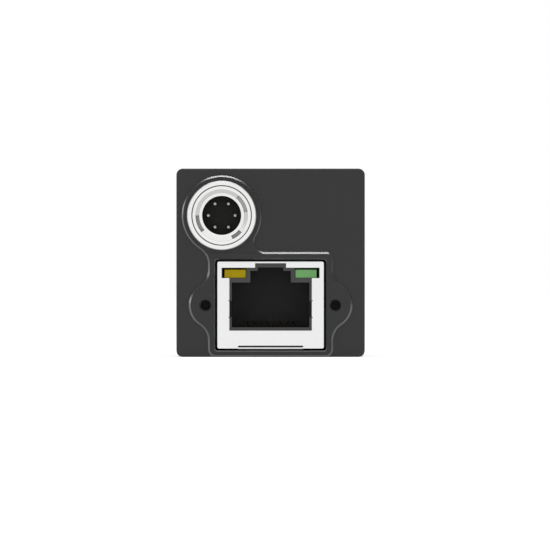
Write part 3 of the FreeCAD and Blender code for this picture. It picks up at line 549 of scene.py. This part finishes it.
metalLooks = {
    "pinSilver": {"color": (0.38, 0.38, 0.375), "roughness": 0.3, "grain": 2500.0},
    "gold": {"color": (0.72, 0.50, 0.18), "roughness": 0.25, "grain": 2500.0},
    # Gold darkened as painted shade for the contacts deep in the jack's cavity
    "contactGold": {"color": (0.34, 0.24, 0.085), "roughness": 0.3, "grain": 2500.0},
    "blackOxide": {"color": (0.12, 0.12, 0.125), "roughness": 0.36, "grain": 4000.0},
    "castAluminium": {"color": (0.72, 0.73, 0.74), "roughness": 0.5, "grain": 6000.0},
    "crystalCan": {"color": (0.62, 0.61, 0.58), "roughness": 0.3, "grain": 3000.0},
    "solder": {"color": (0.60, 0.61, 0.62), "roughness": 0.28, "grain": 3500.0},
    "filterCoating": {"color": (0.25, 0.55, 0.58), "roughness": 0.04, "grain": 300.0, "alpha": 0.11},
    "coverCoating": {"color": (0.60, 0.68, 0.80), "roughness": 0.04, "grain": 300.0, "alpha": 0.07},
}


# Drawn, plated or cast metal without turning marks, or glass with a metallic coating
def metalFinish(name):
    v = metalLooks[name]
    finish = Finish(name + "Finish", {"Metallic": 1.0, "Alpha": v.get("alpha", 1.0)})
    grain = finish.noise(v["grain"], 3.0)
    cloud = finish.noise(350.0, 3.0)
    finish.set("Base Color", finish.mottled(cloud, v["color"], (0.92, 1.04)))
    finish.set("Roughness", v["roughness"] * (0.8 + grain * 0.4))
    if "alpha" not in v:
        finish.bump(grain, 0.25, 0.0012 * mm)
    return finish.material


plasticLooks = {
    # Jack plastic darker than its face plastic, as painted shade in the jack's cavity
    "jackPlastic": {"color": (0.018, 0.018, 0.018), "roughness": 0.5, "specular": 0.3},
    "jackFacePlastic": {"color": (0.058, 0.058, 0.056), "roughness": 0.42, "specular": 0.4},
    # A lighter paint as a painted highlight on the pocket's lower sill
    "rubbedPaint": {"color": (0.25, 0.25, 0.25), "roughness": 0.5, "specular": 0.3},
    "insulatorPlastic": {"color": (0.0145, 0.0147, 0.012), "roughness": 0.5, "specular": 0.2},
    "linkPlastic": {"color": (0.045, 0.043, 0.040), "roughness": 0.45, "specular": 0.4},
    "chipEpoxy": {"color": (0.022, 0.022, 0.023), "roughness": 0.55, "specular": 0.35},
    "ceramic": {"color": (0.085, 0.075, 0.075), "roughness": 0.6, "specular": 0.3},
    "capacitorBody": {"color": (0.30, 0.21, 0.13), "roughness": 0.45, "specular": 0.4},
    "gasketRubber": {"color": (0.018, 0.018, 0.018), "roughness": 0.7, "specular": 0.25},
    "thermalGel": {"color": (0.33, 0.37, 0.45), "roughness": 0.6, "specular": 0.3},
}


# Moulded or painted: a fine grain, and tones that flow along the depth
def plasticFinish(name):
    v = plasticLooks[name]
    finish = Finish(name + "Finish", {"Specular IOR Level": v["specular"]})
    grain = finish.noise(12000.0, 2.0)
    flow = finish.noise(420.0, 4.0, finish.mapped(scale=(1.0, 0.25, 1.0)))
    finish.set("Base Color", finish.mottled(flow, v["color"], (0.85, 1.15)))
    finish.set("Roughness", finish.uneven(v["roughness"], (flow, 0.14), (grain, 0.1)))
    finish.bump(grain, 0.3, 0.003 * mm)
    return finish.material


lightGuideLooks = {
    "yellow": {"color": (0.58, 0.425, 0.006), "edge": (0.31, 0.22, 0.003)},
    "green": {"color": (0.257, 0.585, 0.22), "edge": (0.135, 0.31, 0.115)},
}


# Unlit clear plastic over a dark cavity
def lightGuideFinish(name):
    v = lightGuideLooks[name]
    finish = Finish(name + "GuideFinish", {"Roughness": 0.35, "Specular IOR Level": 0.1})
    cloud = finish.noise(700.0, 3.0)
    finish.set("Base Color", finish.blend(cloud * 0.3, v["color"], v["edge"]))
    finish.bump(finish.noise(5000.0, 2.0), 0.15, 0.003 * mm)
    return finish.material


sensorLook = {
    "active": (0.045, 0.075, 0.085), "sheen": (0.10, 0.05, 0.12), "border": (0.03, 0.034, 0.04),
    "pad": (0.75, 0.56, 0.25), "activeHalfWidth": 4.2 * mm, "activeHalfHeight": 3.2 * mm,
    "padRow": 0.32 * mm, "padEdge": 0.1 * mm, "padPitch": 0.3 * mm, "padShare": 0.55,
    "cellPitch": 0.02 * mm, "cellShare": 0.85, "sheenBlend": 0.35,
}


# The image sensor: a grid of light-sensitive cells, then a dark border with gold bond pads
def sensorFinish(halfWidth, halfHeight):
    v = sensorLook
    finish = Finish("sensorFinish", {"Roughness": 0.16, "Specular IOR Level": 0.8})
    across, depth, up = finish.parts(finish.place())
    active = finish.inside(across, up, v["activeHalfWidth"], v["activeHalfHeight"])
    edge = 1.0 - finish.inside(across, up, halfWidth - v["padRow"], halfHeight - v["padRow"])
    rim = finish.inside(across, up, halfWidth - v["padEdge"], halfHeight - v["padEdge"])
    pads = edge * rim * finish.grid(across, up, v["padPitch"], v["padShare"])
    facing = finish.node("ShaderNodeLayerWeight", {"Blend": v["sheenBlend"]}, output="Facing")
    surface = finish.blend(facing, v["active"], v["sheen"])
    surface = finish.blend(active, v["border"], surface)
    finish.set("Base Color", finish.blend(pads, surface, v["pad"]))
    finish.set("Metallic", pads)
    finish.bump(finish.grid(across, up, v["cellPitch"], v["cellShare"]) * active, 0.2, 0.001 * mm)
    return finish.material


boardLook = {
    "mask": (0.012, 0.10, 0.035), "track": (0.02, 0.17, 0.06), "via": (0.62, 0.46, 0.2), "roughness": 0.32,
    "trackPitch": 0.55 * mm, "trackShare": 0.4, "viaPitch": 2.3 * mm, "viaRadius": 0.16 * mm,
}


# Green mask over tracks, which run across in some regions and up in others, and plated vias
def boardFinish():
    v = boardLook
    finish = Finish("boardFinish", {"Coat Weight": 0.3, "Coat Roughness": 0.2})
    across, depth, up = finish.parts(finish.place())
    region = finish.noise(330.0, 1.0)
    sideways = finish.math("GREATER_THAN", region, 0.5)
    rows = finish.stripes(up, v["trackPitch"], v["trackShare"])
    columns = finish.stripes(across, v["trackPitch"], v["trackShare"])
    tracks = sideways * rows + (1.0 - sideways) * columns
    offAcross = finish.math("PINGPONG", across, v["viaPitch"] / 2)
    offUp = finish.math("PINGPONG", up, v["viaPitch"] / 2)
    away = finish.math("SQRT", offAcross * offAcross + offUp * offUp)
    vias = finish.math("LESS_THAN", away, v["viaRadius"])
    finish.set("Base Color", finish.blend(vias, finish.blend(tracks, v["mask"], v["track"]), v["via"]))
    finish.set("Metallic", vias)
    finish.set("Roughness", finish.uneven(v["roughness"], (region, 0.1)))
    finish.bump(tracks + vias, 0.4, 0.01 * mm)
    return finish.material


chipSizes = {"dimpleInset": 0.9 * mm, "dimpleEdge": (0.3 * mm, 0.36 * mm), "softened": 0.08 * mm}


# Moulded epoxy with a dimple at the corner of the first pin
def chipFinish(name, x, z):
    v = plasticLooks["chipEpoxy"]
    finish = Finish(name + "Finish", {"Specular IOR Level": v["specular"]})
    across, depth, up = finish.parts(finish.mapped(location=(-x, 0, -z)))
    dimple = finish.step(finish.math("SQRT", across * across + up * up), *chipSizes["dimpleEdge"])
    grain = finish.noise(9000.0, 3.0)
    cloud = finish.noise(300.0, 3.0)
    finish.set("Base Color", finish.mottled(cloud, v["color"], (0.85, 1.15)))
    finish.set("Roughness", finish.uneven(v["roughness"] - (1.0 - dimple) * 0.3, (grain, 0.12)))
    finish.bump(dimple * 3.0 + grain, 0.5, 0.008 * mm)
    return finish.material


nutLow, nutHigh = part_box("io_connector_nut")
plugAxis, connectorFront = (nutLow + nutHigh) / 2, nutLow.y
housingMaterial = housingFinish()
cutEdgeMaterial = cutEdgeFinish()
tinPlate = tinFinish()
connectorMetal = turnedFinish("connectorMetal", plugAxis.x, plugAxis.z, connectorFront)
recessedMetal = turnedFinish("recessedMetal", plugAxis.x, plugAxis.z)
turnedSide = turnedFinish("turnedSide", plugAxis.x, plugAxis.z)
nickelBrass = turnedFinish("nickelBrass")
retainerMaterial = turnedFinish("retainer")
metals = {name: metalFinish(name) for name in metalLooks}
plastics = {name: plasticFinish(name) for name in plasticLooks}
lightGuides = {name: lightGuideFinish(name) for name in lightGuideLooks}
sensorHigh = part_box("sensor_die")[1]
sensorMaterial = sensorFinish(sensorHigh.x, sensorHigh.z)
boardMaterial = boardFinish()
print("finishes made")


housingSizes = {
    "padDepth": 0.6 * mm, "padReach": 13.9 * mm, "lockSink": 1.3 * mm, "slant": (0.3, 0.93),
    "jointBreak": 0.1 * mm, "jointReach": 13.4 * mm, "jointPlay": 0.01 * mm,
}
# The pocket round the jack: where its edges lie, and how far each one moves to widen the dark gap
pocketSizes = {
    "depth": 2.5 * mm, "side": (8.0 * mm, 8.65 * mm), "top": (0.35 * mm, 0.65 * mm),
    "bottom": (-13.7 * mm, -13.0 * mm), "sill": (-13.75 * mm, -13.3 * mm), "sillHalfWidth": 8.5 * mm,
    "sideEase": 0.08 * mm, "topEase": 0.03 * mm, "bottomEase": 0.1 * mm,
}


def between(value, limits):
    return limits[0] < value < limits[1]


def onPadRim(face):
    v = housingSizes
    return between(abs(face.normal.y), v["slant"]) and between(face.center.y - shellLow.y, (0, v["padDepth"]))


def onPadEdge(face):
    v = housingSizes
    x, y, z = face.center
    nearHole = any(math.hypot(x - place[0], z - place[2]) < v["lockSink"] for place in lockPlaces)
    return onPadRim(face) and max(abs(x), z) < v["padReach"] and not nearHole


def onPocketSill(face):
    v = pocketSizes
    return onPadRim(face) and abs(face.center.x) < v["sillHalfWidth"] and between(face.center.z, v["sill"])


# Takes the sharpness off the outer edges where the two housings meet, so that their joint shows as a line
def breakJoint(piece):
    v = housingSizes
    work = bmesh.new()
    work.from_mesh(piece.data)
    outer = [edge for edge in work.edges
             if all(abs(vertex.co.y - shellHigh.y) < v["jointPlay"] and
                    max(abs(vertex.co.x), abs(vertex.co.z)) > v["jointReach"] for vertex in edge.verts)]
    bmesh.ops.bevel(work, geom=outer, offset=v["jointBreak"], segments=meshSizes["bevelSegments"],
                    profile=0.5, affect="EDGES")
    work.to_mesh(piece.data)
    work.free()


# Opens the pocket round the jack a little, so that the gap shows as a clear dark line
def easePocket(piece):
    breakJoint(piece)
    v = pocketSizes
    for vertex in piece.data.vertices:
        x, y, z = vertex.co
        if y > shellLow.y + v["depth"] or not between(z, (v["bottom"][0], v["top"][1])):
            continue
        if between(abs(x), v["side"]):
            vertex.co.x += math.copysign(v["sideEase"], x)
        if abs(x) < v["side"][1] and z > v["top"][0]:
            vertex.co.z += v["topEase"]
        if abs(x) < v["side"][1] and z < v["bottom"][1]:
            vertex.co.z -= v["bottomEase"]


# The pocket's lower sill gets the lighter paint as a painted highlight
dressed("rear_shell", "rearShell", housingMaterial, cutters=[lockThreads], reshape=easePocket,
        others=[(cutEdgeMaterial, onPadEdge), (plastics["rubbedPaint"], onPocketSill)])
dressed("front_housing", "frontHousing", housingMaterial, cutters=[lensThread, baseThreads],
        reshape=breakJoint)
screwSizes = {
    "head": 1.43 * mm, "shank": 0.78 * mm, "cone": 0.65 * mm, "length": 2.3 * mm, "sides": 48,
    "socket": 0.54 * mm, "socketDepth": 0.55 * mm, "edge": 0.03 * mm,
}


# Countersunk screws with a hexagon socket, one in each side wall
def shellScrews():
    v = screwSizes
    recipe = Recipe("shellScrews", {"Head": v["head"], "Shank": v["shank"], "Socket": v["socket"]})
    cone = recipe.node("GeometryNodeMeshCone", {
        "Vertices": v["sides"], "Radius Top": recipe.given("Head"), "Radius Bottom": recipe.given("Shank"),
        "Depth": v["cone"]})
    cone = recipe.moved(cone, place=(0, 0, -v["cone"]))
    shank = recipe.node("GeometryNodeMeshCylinder", {
        "Vertices": v["sides"], "Radius": recipe.given("Shank"), "Depth": v["length"] - v["cone"]})
    shank = recipe.moved(shank, place=(0, 0, -(v["length"] + v["cone"]) / 2))
    socket = recipe.node("GeometryNodeMeshCylinder", {
        "Vertices": 6, "Radius": recipe.given("Socket"), "Depth": v["socketDepth"] * 2})
    screw = recipe.node("GeometryNodeMeshBoolean", {"Mesh 1": cone, "Mesh 2": socket},
                        {"operation": "DIFFERENCE"})
    screw = recipe.joined(screw, shank)
    low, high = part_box("shell_screws")
    depth = (low.y + high.y) / 2
    right = recipe.moved(screw, place=(high.x, depth, 0), turn=(0, math.pi / 2, 0))
    left = recipe.moved(screw, place=(low.x, depth, 0), turn=(0, -math.pi / 2, 0))
    return recipe.make("shellScrews", recipe.joined(left, right), metals["blackOxide"])


screws = smoothed(shellScrews(), screwSizes["edge"])
coat(screws, metals["blackOxide"])
fit(screws, "screw_steel", "shell_screws")
print("housing dressed")


nutSizes = {"reliefRadius": 4.75 * mm, "reliefDepth": 0.02 * mm, "sideRadius": 5.2 * mm, "faceNormal": 0.9}


def fromPlugAxis(face):
    return math.hypot(face.center.x - plugAxis.x, face.center.z - plugAxis.z)


# Faces of the nut's thread relief, which get painted shade
def inRelief(face):
    v = nutSizes
    return fromPlugAxis(face) < v["reliefRadius"] and face.center.y > connectorFront + v["reliefDepth"]


# Faces of the nut's outer side, which get painted shade
def onNutSide(face):
    v = nutSizes
    return fromPlugAxis(face) > v["sideRadius"] and abs(face.normal.y) < v["faceNormal"]


dressed("io_connector_nut", "connectorNut", connectorMetal,
        others=[(recessedMetal, inRelief), (turnedSide, onNutSide)])
# For each node the name of its piece, its finish, and the width of its softened edges in millimetres
connectorPieces = {
    "io_connector_shell": ("connectorShell", connectorMetal, 0.03),
    "io_connector_insulator": ("connectorInsulator", plastics["insulatorPlastic"], 0.05),
    "io_connector_washer": ("connectorWasher", nickelBrass, 0.02),
}
for node, (name, material, width) in connectorPieces.items():
    dressed(node, name, material, width * mm)
pinSizes = {"radius": 0.25 * mm, "circle": 2.07 * mm, "count": 6, "sides": 20, "tipLength": 0.6,
            "tipGirth": 0.999}


# Pins round the axis, each a rod with a rounded tip that is shorter than its radius
def connectorPins():
    v = pinSizes
    low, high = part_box("io_connector_pins")
    recipe = Recipe("connectorPins", {"Circle": v["circle"], "Radius": v["radius"], "Length": high.y - low.y})
    radius, length = recipe.allGiven("Radius", "Length")
    tipLength = radius * v["tipLength"]
    rod = recipe.node("GeometryNodeMeshCylinder", {
        "Vertices": v["sides"], "Radius": radius, "Depth": length - tipLength})
    rod = recipe.moved(rod, place=recipe.vector(0.0, 0.0, (length + tipLength) * 0.5))
    tip = recipe.node("GeometryNodeMeshUVSphere", {
        "Segments": v["sides"], "Rings": v["sides"] // 2, "Radius": radius * v["tipGirth"]})
    tip = recipe.moved(tip, place=recipe.vector(0.0, 0.0, tipLength), scale=(1, 1, v["tipLength"]))
    pin = recipe.node("GeometryNodeSetShadeSmooth", {"Geometry": recipe.joined(rod, tip)})
    ring = recipe.node("GeometryNodeMeshCircle", {"Vertices": v["count"], "Radius": recipe.given("Circle")})
    pins = recipe.moved(recipe.repeated(ring, pin), turn=(-math.pi / 2, 0, 0),
                        place=(plugAxis.x, low.y, plugAxis.z))
    return recipe.make("connectorPins", pins, metals["pinSilver"])


fit(connectorPins(), "connector_metal", "io_connector_pins")
print("round connector dressed")


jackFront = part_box("ethernet_jack_shield")[0].y
jackFace = {"depth": 0.6 * mm, "normal": -0.9}


def onJackFace(face):
    return face.normal.y < jackFace["normal"] and face.center.y < jackFront + jackFace["depth"]


# The jack's housing and insert take the darker plastic as painted shade in the cavity
jackPieces = {
    "ethernet_jack_shield": ("jackShield", tinPlate, 0.03, []),
    "ethernet_jack_housing": ("jackHousing", plastics["jackPlastic"], 0.05,
                              [(plastics["jackFacePlastic"], onJackFace)]),
    "ethernet_jack_insert": ("jackInsert", plastics["jackPlastic"], 0.03, []),
    "ethernet_led_yellow": ("yellowLightGuide", lightGuides["yellow"], 0.12, []),
    "ethernet_led_green": ("greenLightGuide", lightGuides["green"], 0.12, []),
}
for node, (name, material, width, others) in jackPieces.items():
    dressed(node, name, material, width * mm, others)

contactSizes = {
    "width": 0.35 * mm, "thickness": 0.3 * mm, "pitch": 1.02 * mm, "bend": 0.5 * mm, "count": 8,
    "route": ((-33.8, -11.6), (-45.0, -11.6), (-45.55, -11.15), (-45.55, -10.35), (-39.2, -9.2)),
}


# Eight spring wires, bent round the nose of the comb and back into the plug opening
def jackContacts():
    v = contactSizes
    recipe = Recipe("jackContacts", {"Width": v["width"], "Thickness": v["thickness"], "Pitch": v["pitch"],
                                     "Bend": v["bend"], "Count": v["count"]},
                    path=[(0, y * mm, z * mm) for y, z in v["route"]])
    wire = recipe.node("GeometryNodeMeshToCurve", {"Mesh": recipe.given("Path")})
    wire = recipe.node("GeometryNodeFilletCurve", {
        "Curve": wire, "Count": 5, "Radius": recipe.given("Bend"), "Limit Radius": True}, {"mode": "POLY"})
    wire = recipe.swept(wire, recipe.strip(*recipe.allGiven("Width", "Thickness")))
    row = recipe.moved(recipe.row(*recipe.allGiven("Count", "Pitch")), turn=(0, 0, math.pi / 2))
    return recipe.make("jackContacts", recipe.repeated(row, wire), metals["contactGold"])


fit(smoothed(jackContacts()), "gold", "ethernet_jack_contacts")
print("network jack dressed")


# Everything else: a finish, the width of softened edges in millimetres, and the nodes that have both
plainPieces = (
    (metals["filterCoating"], 0.06, "ir_filter"), (plastics["gasketRubber"], 0.05, "filter_seal"),
    (retainerMaterial, 0.06, "filter_retaining_ring"), (plastics["gasketRubber"], 0.06, "sensor_gasket"),
    (metals["coverCoating"], 0.04, "sensor_cover_glass"), (sensorMaterial, 0.0, "sensor_die"),
    (plastics["ceramic"], 0.05, "sensor_package"),
    (boardMaterial, 0.04, "sensor_board processor_board interface_board"),
    (nickelBrass, 0.08, "lower_standoffs upper_standoffs board_screws"),
    (plastics["linkPlastic"], 0.06, "sensor_board_header processor_board_receptacle "
                                    "processor_board_header interface_board_receptacle"),
    (metals["crystalCan"], 0.15, "clock_crystal"), (plastics["thermalGel"], 0.12, "thermal_pad"),
    (metals["castAluminium"], 0.08, "heat_spreader"),
)


def plainName(node):
    first, *rest = node.split("_")
    return first + "".join(word.capitalize() for word in rest)


for material, width, nodes in plainPieces:
    for node in nodes.split():
        dressed(node, plainName(node), material, width * mm)
for node in ("memory_chip", "flash_chip", "ethernet_transformer", "ethernet_phy_chip", "power_inductor",
             "optocoupler", "processor_chip"):
    low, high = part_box(node)
    finish = chipFinish(plainName(node), low.x + chipSizes["dimpleInset"], high.z - chipSizes["dimpleInset"])
    dressed(node, plainName(node), finish, chipSizes["softened"])
print("inner pieces dressed")


# Lengths in millimetres; side 1 faces rearward and -1 the lens; acrossZ puts the rows above and below
leadKeys = ("count", "pitch", "width", "reach", "side", "acrossZ")
leadRows = {
    "flash_chip": (4, 1.27, 0.4, 0.9, -1, False), "ethernet_transformer": (8, 1.5, 0.5, 1.0, -1, True),
    "optocoupler": (2, 2.0, 0.5, 1.1, 1, False), "ethernet_phy_chip": (9, 0.65, 0.3, 0.25, 1, False),
    "sensor_board_header": (14, 1.0, 0.25, 0.8, 1, True),
    "processor_board_receptacle": (14, 1.0, 0.25, 0.8, -1, True),
    "processor_board_header": (14, 1.0, 0.25, 0.8, 1, True),
    "interface_board_receptacle": (14, 1.0, 0.25, 0.8, -1, True),
}
leadForm = {"thickness": 0.12 * mm, "tuck": 0.1 * mm, "riseShare": 0.45, "mostRise": 0.9 * mm, "steps": 8,
            "startHandle": 0.6, "endHandle": 0.2}


# An S-shaped foot, swept once and set in rows on opposite sides of a package
def packageLeads(node):
    v, form = dict(zip(leadKeys, leadRows[node])), leadForm
    low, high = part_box(node)
    size, centre = high - low, (low + high) / 2
    half = (size.z if v["acrossZ"] else size.x) / 2
    seat = high.y if v["side"] > 0 else low.y
    name = plainName(node) + "Leads"
    recipe = Recipe(name, {
        "Count": v["count"], "Pitch": v["pitch"] * mm, "Width": v["width"] * mm, "Reach": v["reach"] * mm,
        "Rise": min(size.y * form["riseShare"], form["mostRise"]), "Thickness": form["thickness"]})
    reach, rise, thickness = recipe.allGiven("Reach", "Rise", "Thickness")
    foot = recipe.node("GeometryNodeCurvePrimitiveBezierSegment", {
        "Resolution": form["steps"], "Start": recipe.vector(-form["tuck"], 0.0, rise),
        "Start Handle": recipe.vector(reach * form["startHandle"], 0.0, rise),
        "End Handle": recipe.vector(reach * form["endHandle"], 0.0, thickness * 0.5),
        "End": recipe.vector(reach, 0.0, thickness * 0.5)})
    foot = recipe.node("GeometryNodeSetCurveNormal", {"Curve": foot}, {"mode": "Z_UP"})
    foot = recipe.swept(foot, recipe.strip(recipe.given("Width"), thickness))
    row = recipe.repeated(recipe.row(*recipe.allGiven("Count", "Pitch"), x=half), foot)
    rows = recipe.joined(row, recipe.moved(row, turn=(0, 0, math.pi)))
    if v["acrossZ"]:
        rows = recipe.moved(rows, turn=(0, 0, math.pi / 2))
    rows = recipe.moved(rows, place=(centre.x, seat, centre.z), turn=(v["side"] * math.pi / 2, 0, 0))
    return recipe.make(name, rows, metals["solder"])


for node in leadRows:
    fit(packageLeads(node), "crystal_can")
print("leads made")


smallPartSizes = {
    "length": 1.0 * mm, "width": 0.5 * mm, "height": 0.4 * mm, "cap": 0.24 * mm, "bodyLength": 0.62,
    "bodyGirth": 0.96, "pitchX": 1.7 * mm, "pitchZ": 1.45 * mm, "share": 0.5, "margin": 0.85 * mm,
    "boardMargin": 2.4 * mm,
}
# What counts as standing on a board's face, and the square kept free at each fixing
crowdSizes = {"reach": 0.6 * mm, "overlap": 0.05 * mm, "widest": 25.0 * mm, "fixing": 10.2 * mm,
              "fixingHalf": 1.7 * mm}


# Small capacitors scattered on the free parts of one face of a board
def smallParts(board, side, seed):
    v = smallPartSizes
    low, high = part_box(board)
    seat = low.y if side > 0 else high.y
    name = "%sParts%d" % (plainName(board), seed)
    recipe = Recipe(name, {"Length": v["length"], "Width": v["width"], "Height": v["height"],
                           "Share": v["share"], "Seed": seed})
    length, width, height = recipe.allGiven("Length", "Width", "Height")
    body = recipe.vector(length * v["bodyLength"], width * v["bodyGirth"], height * v["bodyGirth"])
    body = recipe.painted(recipe.box(body, recipe.vector(0.0, 0.0, height * 0.5)), plastics["capacitorBody"])
    caps = [recipe.box(recipe.vector(v["cap"], width, height),
                       recipe.vector(length * end - v["cap"] * end, 0.0, height * 0.5))
            for end in (-0.5, 0.5)]
    part = recipe.joined(body, recipe.painted(recipe.joined(*caps), metals["solder"]))
    reachX, reachZ = high.x - low.x - v["boardMargin"], high.z - low.z - v["boardMargin"]
    grid = recipe.node("GeometryNodeMeshGrid", {
        "Size X": reachX, "Size Y": reachZ, "Vertices X": int(reachX / v["pitchX"]) + 1,
        "Vertices Y": int(reachZ / v["pitchZ"]) + 1})
    across, up, away = recipe.parts(recipe.node("GeometryNodeInputPosition"))
    chosen = recipe.node("FunctionNodeRandomValue", {"Probability": recipe.given("Share"),
                                                     "Seed": recipe.given("Seed")},
                         {"data_type": "BOOLEAN"}, 3)  # its yes-or-no output
    for boxLow, boxHigh in crowded(board, side, seat):
        centre, half = (boxLow + boxHigh) / 2, (boxHigh - boxLow) / 2
        taken = recipe.inside(across - centre.x, up - centre.z * side, half.x + v["margin"],
                              half.z + v["margin"])
        chosen = chosen * (1.0 - taken)
    parts = recipe.moved(recipe.repeated(grid, part, chosen=chosen), place=(0, seat, 0),
                         turn=(side * math.pi / 2, 0, 0))
    return recipe.make(name, parts)


# The boxes that stand on one face of a board, with a square for each fixing
def crowded(board, side, seat):
    v = crowdSizes
    nearLow, nearHigh = (v["overlap"], -v["reach"]) if side > 0 else (v["reach"], -v["overlap"])
    boxes = []
    for node in slotOf:
        low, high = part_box(node)
        near = low.y < seat + nearLow and high.y > seat + nearHigh
        inside = max(high.x - low.x, high.z - low.z) < v["widest"]
        if near and inside and node != board and "standoffs" not in node and node != "board_screws":
            boxes.append((low, high))
    half = Vector((v["fixingHalf"], 0, v["fixingHalf"]))
    for corner in (-v["fixing"], v["fixing"]):
        place = Vector((corner, 0, corner))
        boxes.append((place - half, place + half))
    return boxes


boardFaces = [(board, side) for board in ("sensor_board", "processor_board", "interface_board")
              for side in (-1, 1)]
for seed, (board, side) in enumerate(boardFaces, 1):
    fit(smallParts(board, side, seed), "chip")
print("small parts placed")


bondSizes = {
    "pitch": 0.3 * mm, "wire": 0.016 * mm, "reach": 0.95 * mm, "arch": 0.3 * mm, "inset": 0.16 * mm,
    "endGap": 0.6 * mm, "finger": (0.42 * mm, 0.14 * mm, 0.02 * mm), "steps": 10, "sides": 6,
    "startArch": 1.3, "endArch": 0.4, "endReach": 0.7,
}


# Wires from the edge of the image sensor down to gold fingers in its package
def bondWires():
    v = bondSizes
    low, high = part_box("sensor_die")
    drop = high.y - low.y
    recipe = Recipe("bondWires", {"Pitch": v["pitch"], "Wire Radius": v["wire"], "Reach": v["reach"],
                                  "Arch": v["arch"], "Drop": drop})
    reach, arch, fall = recipe.allGiven("Reach", "Arch", "Drop")
    wire = recipe.node("GeometryNodeCurvePrimitiveBezierSegment", {
        "Resolution": v["steps"], "Start": recipe.vector(-v["inset"], 0.0, fall),
        "Start Handle": recipe.vector(0.0, 0.0, fall + arch * v["startArch"]),
        "End Handle": recipe.vector(reach * v["endReach"], 0.0, fall + arch * v["endArch"]),
        "End": recipe.vector(reach, 0.0, 0.0)})
    section = recipe.node("GeometryNodeCurvePrimitiveCircle", {
        "Resolution": v["sides"], "Radius": recipe.given("Wire Radius")})
    finger = recipe.box(v["finger"], recipe.vector(reach, 0.0, v["finger"][2] / 2))
    bond = recipe.joined(recipe.swept(wire, section), finger)
    sides = []
    for angle in (0, 90, 180, 270):
        half, length = (high.z, high.x) if angle % 180 else (high.x, high.z)
        count = int((2 * length - v["endGap"]) / v["pitch"])
        points = recipe.row(count, recipe.given("Pitch"), x=half)
        sides.append(recipe.moved(recipe.repeated(points, bond), turn=(0, 0, math.radians(angle))))
    wires = recipe.moved(recipe.joined(*sides), place=(0, low.y, 0), turn=(-math.pi / 2, 0, 0))
    return recipe.make("bondWires", wires, metals["gold"])


fit(bondWires(), "gold")
print("bond wires made")


studio = {
    "ambient": 0.6, "floorColor": 0.8, "floorGlow": 0.55, "floorSize": 6.0, "floorGap": 0.02 * mm,
    "overheadSoftbox": {"place": (0, 0.4), "size": (0.34, 0.03), "power": 0.6},
    "leftSoftbox": {"place": (-0.4, 0.08), "size": (0.16, 0.12), "power": 0.12},
    "flagDistance": 0.3, "flagWidth": 0.16, "flagColor": 0.42, "flagSteps": 12,
    "rightFlag": (0, 55), "leftFlag": (122, 156),
}


def addLight(name):
    v = studio[name]
    x, z = v["place"]
    data = bpy.data.lights.new(name, "AREA")
    data.shape = "RECTANGLE"
    data.size, data.size_y = v["size"]
    data.energy = v["power"]
    lamp = placed(name, data)
    lamp.location = (x, shellLow.y, z)
    lamp.rotation_euler = Vector((-x, 0, -z)).to_track_quat("-Z", "Y").to_euler()


# 1 for the camera and for what reflects or transmits, and 0 for everything else
def seenDirectly(tree):
    path = tree.nodeTree.nodes.new("ShaderNodeLightPath")
    camera, glossy, through = (Signal(tree, path.outputs[name]) for name in (
        "Is Camera Ray", "Is Glossy Ray", "Is Transmission Ray"))
    return tree.math("ADD", camera + glossy, through, clamp=True)


# White where it is seen, and a plain light to everything else
def addWorld():
    world = bpy.data.worlds.new("studioWorld")
    world.use_nodes = True
    tree = Tree(world.node_tree)
    background = world.node_tree.nodes["Background"]
    background.inputs["Color"].default_value = (1, 1, 1, 1)
    tree.put(background.inputs["Strength"],
             studio["ambient"] + seenDirectly(tree) * (1.0 - studio["ambient"]))
    scene.world = world


def addFloor():
    v = studio
    half = v["floorSize"] / 2
    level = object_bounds()[0].z - v["floorGap"]
    mesh = bpy.data.meshes.new("studioFloor")
    mesh.from_pydata([(-half, -half, level), (half, -half, level), (half, half, level), (-half, half, level)],
                     [], [(0, 1, 2, 3)])
    floor = placed("studioFloor", mesh)
    finish = Finish("floorFinish", {"Base Color": (v["floorColor"],) * 3, "Roughness": 0.8,
                                    "Specular IOR Level": 0.0, "Emission Strength": 1.0})
    glow = finish.blend(seenDirectly(finish), (0.0, 0.0, 0.0), (v["floorGlow"],) * 3)
    finish.set("Emission Color", glow)
    mesh.materials.append(finish.material)


# A narrow grey card bent round one upper side, between two angles and out of the camera's view,
# which keeps the cut edges there dark
def addFlag(name):
    v = studio
    start, end = v[name]
    count = v["flagSteps"]
    points = []
    for step in range(count + 1):
        angle = math.radians(start + (end - start) * step / count)
        for side in (-1, 1):
            points.append((v["flagDistance"] * math.cos(angle), shellLow.y + side * v["flagWidth"] / 2,
                           v["flagDistance"] * math.sin(angle)))
    mesh = bpy.data.meshes.new(name)
    mesh.from_pydata(points, [], [(2 * step, 2 * step + 1, 2 * step + 3, 2 * step + 2)
                                  for step in range(count)])
    mesh.materials.append(Finish("flagFinish", {"Base Color": (v["flagColor"],) * 3, "Roughness": 1.0,
                                                "Specular IOR Level": 0.0}).material)
    flag = placed(name, mesh)
    flag.visible_camera = False


addWorld()
addFloor()
addLight("overheadSoftbox")
addLight("leftSoftbox")
addFlag("rightFlag")
addFlag("leftFlag")
print("studio lit")
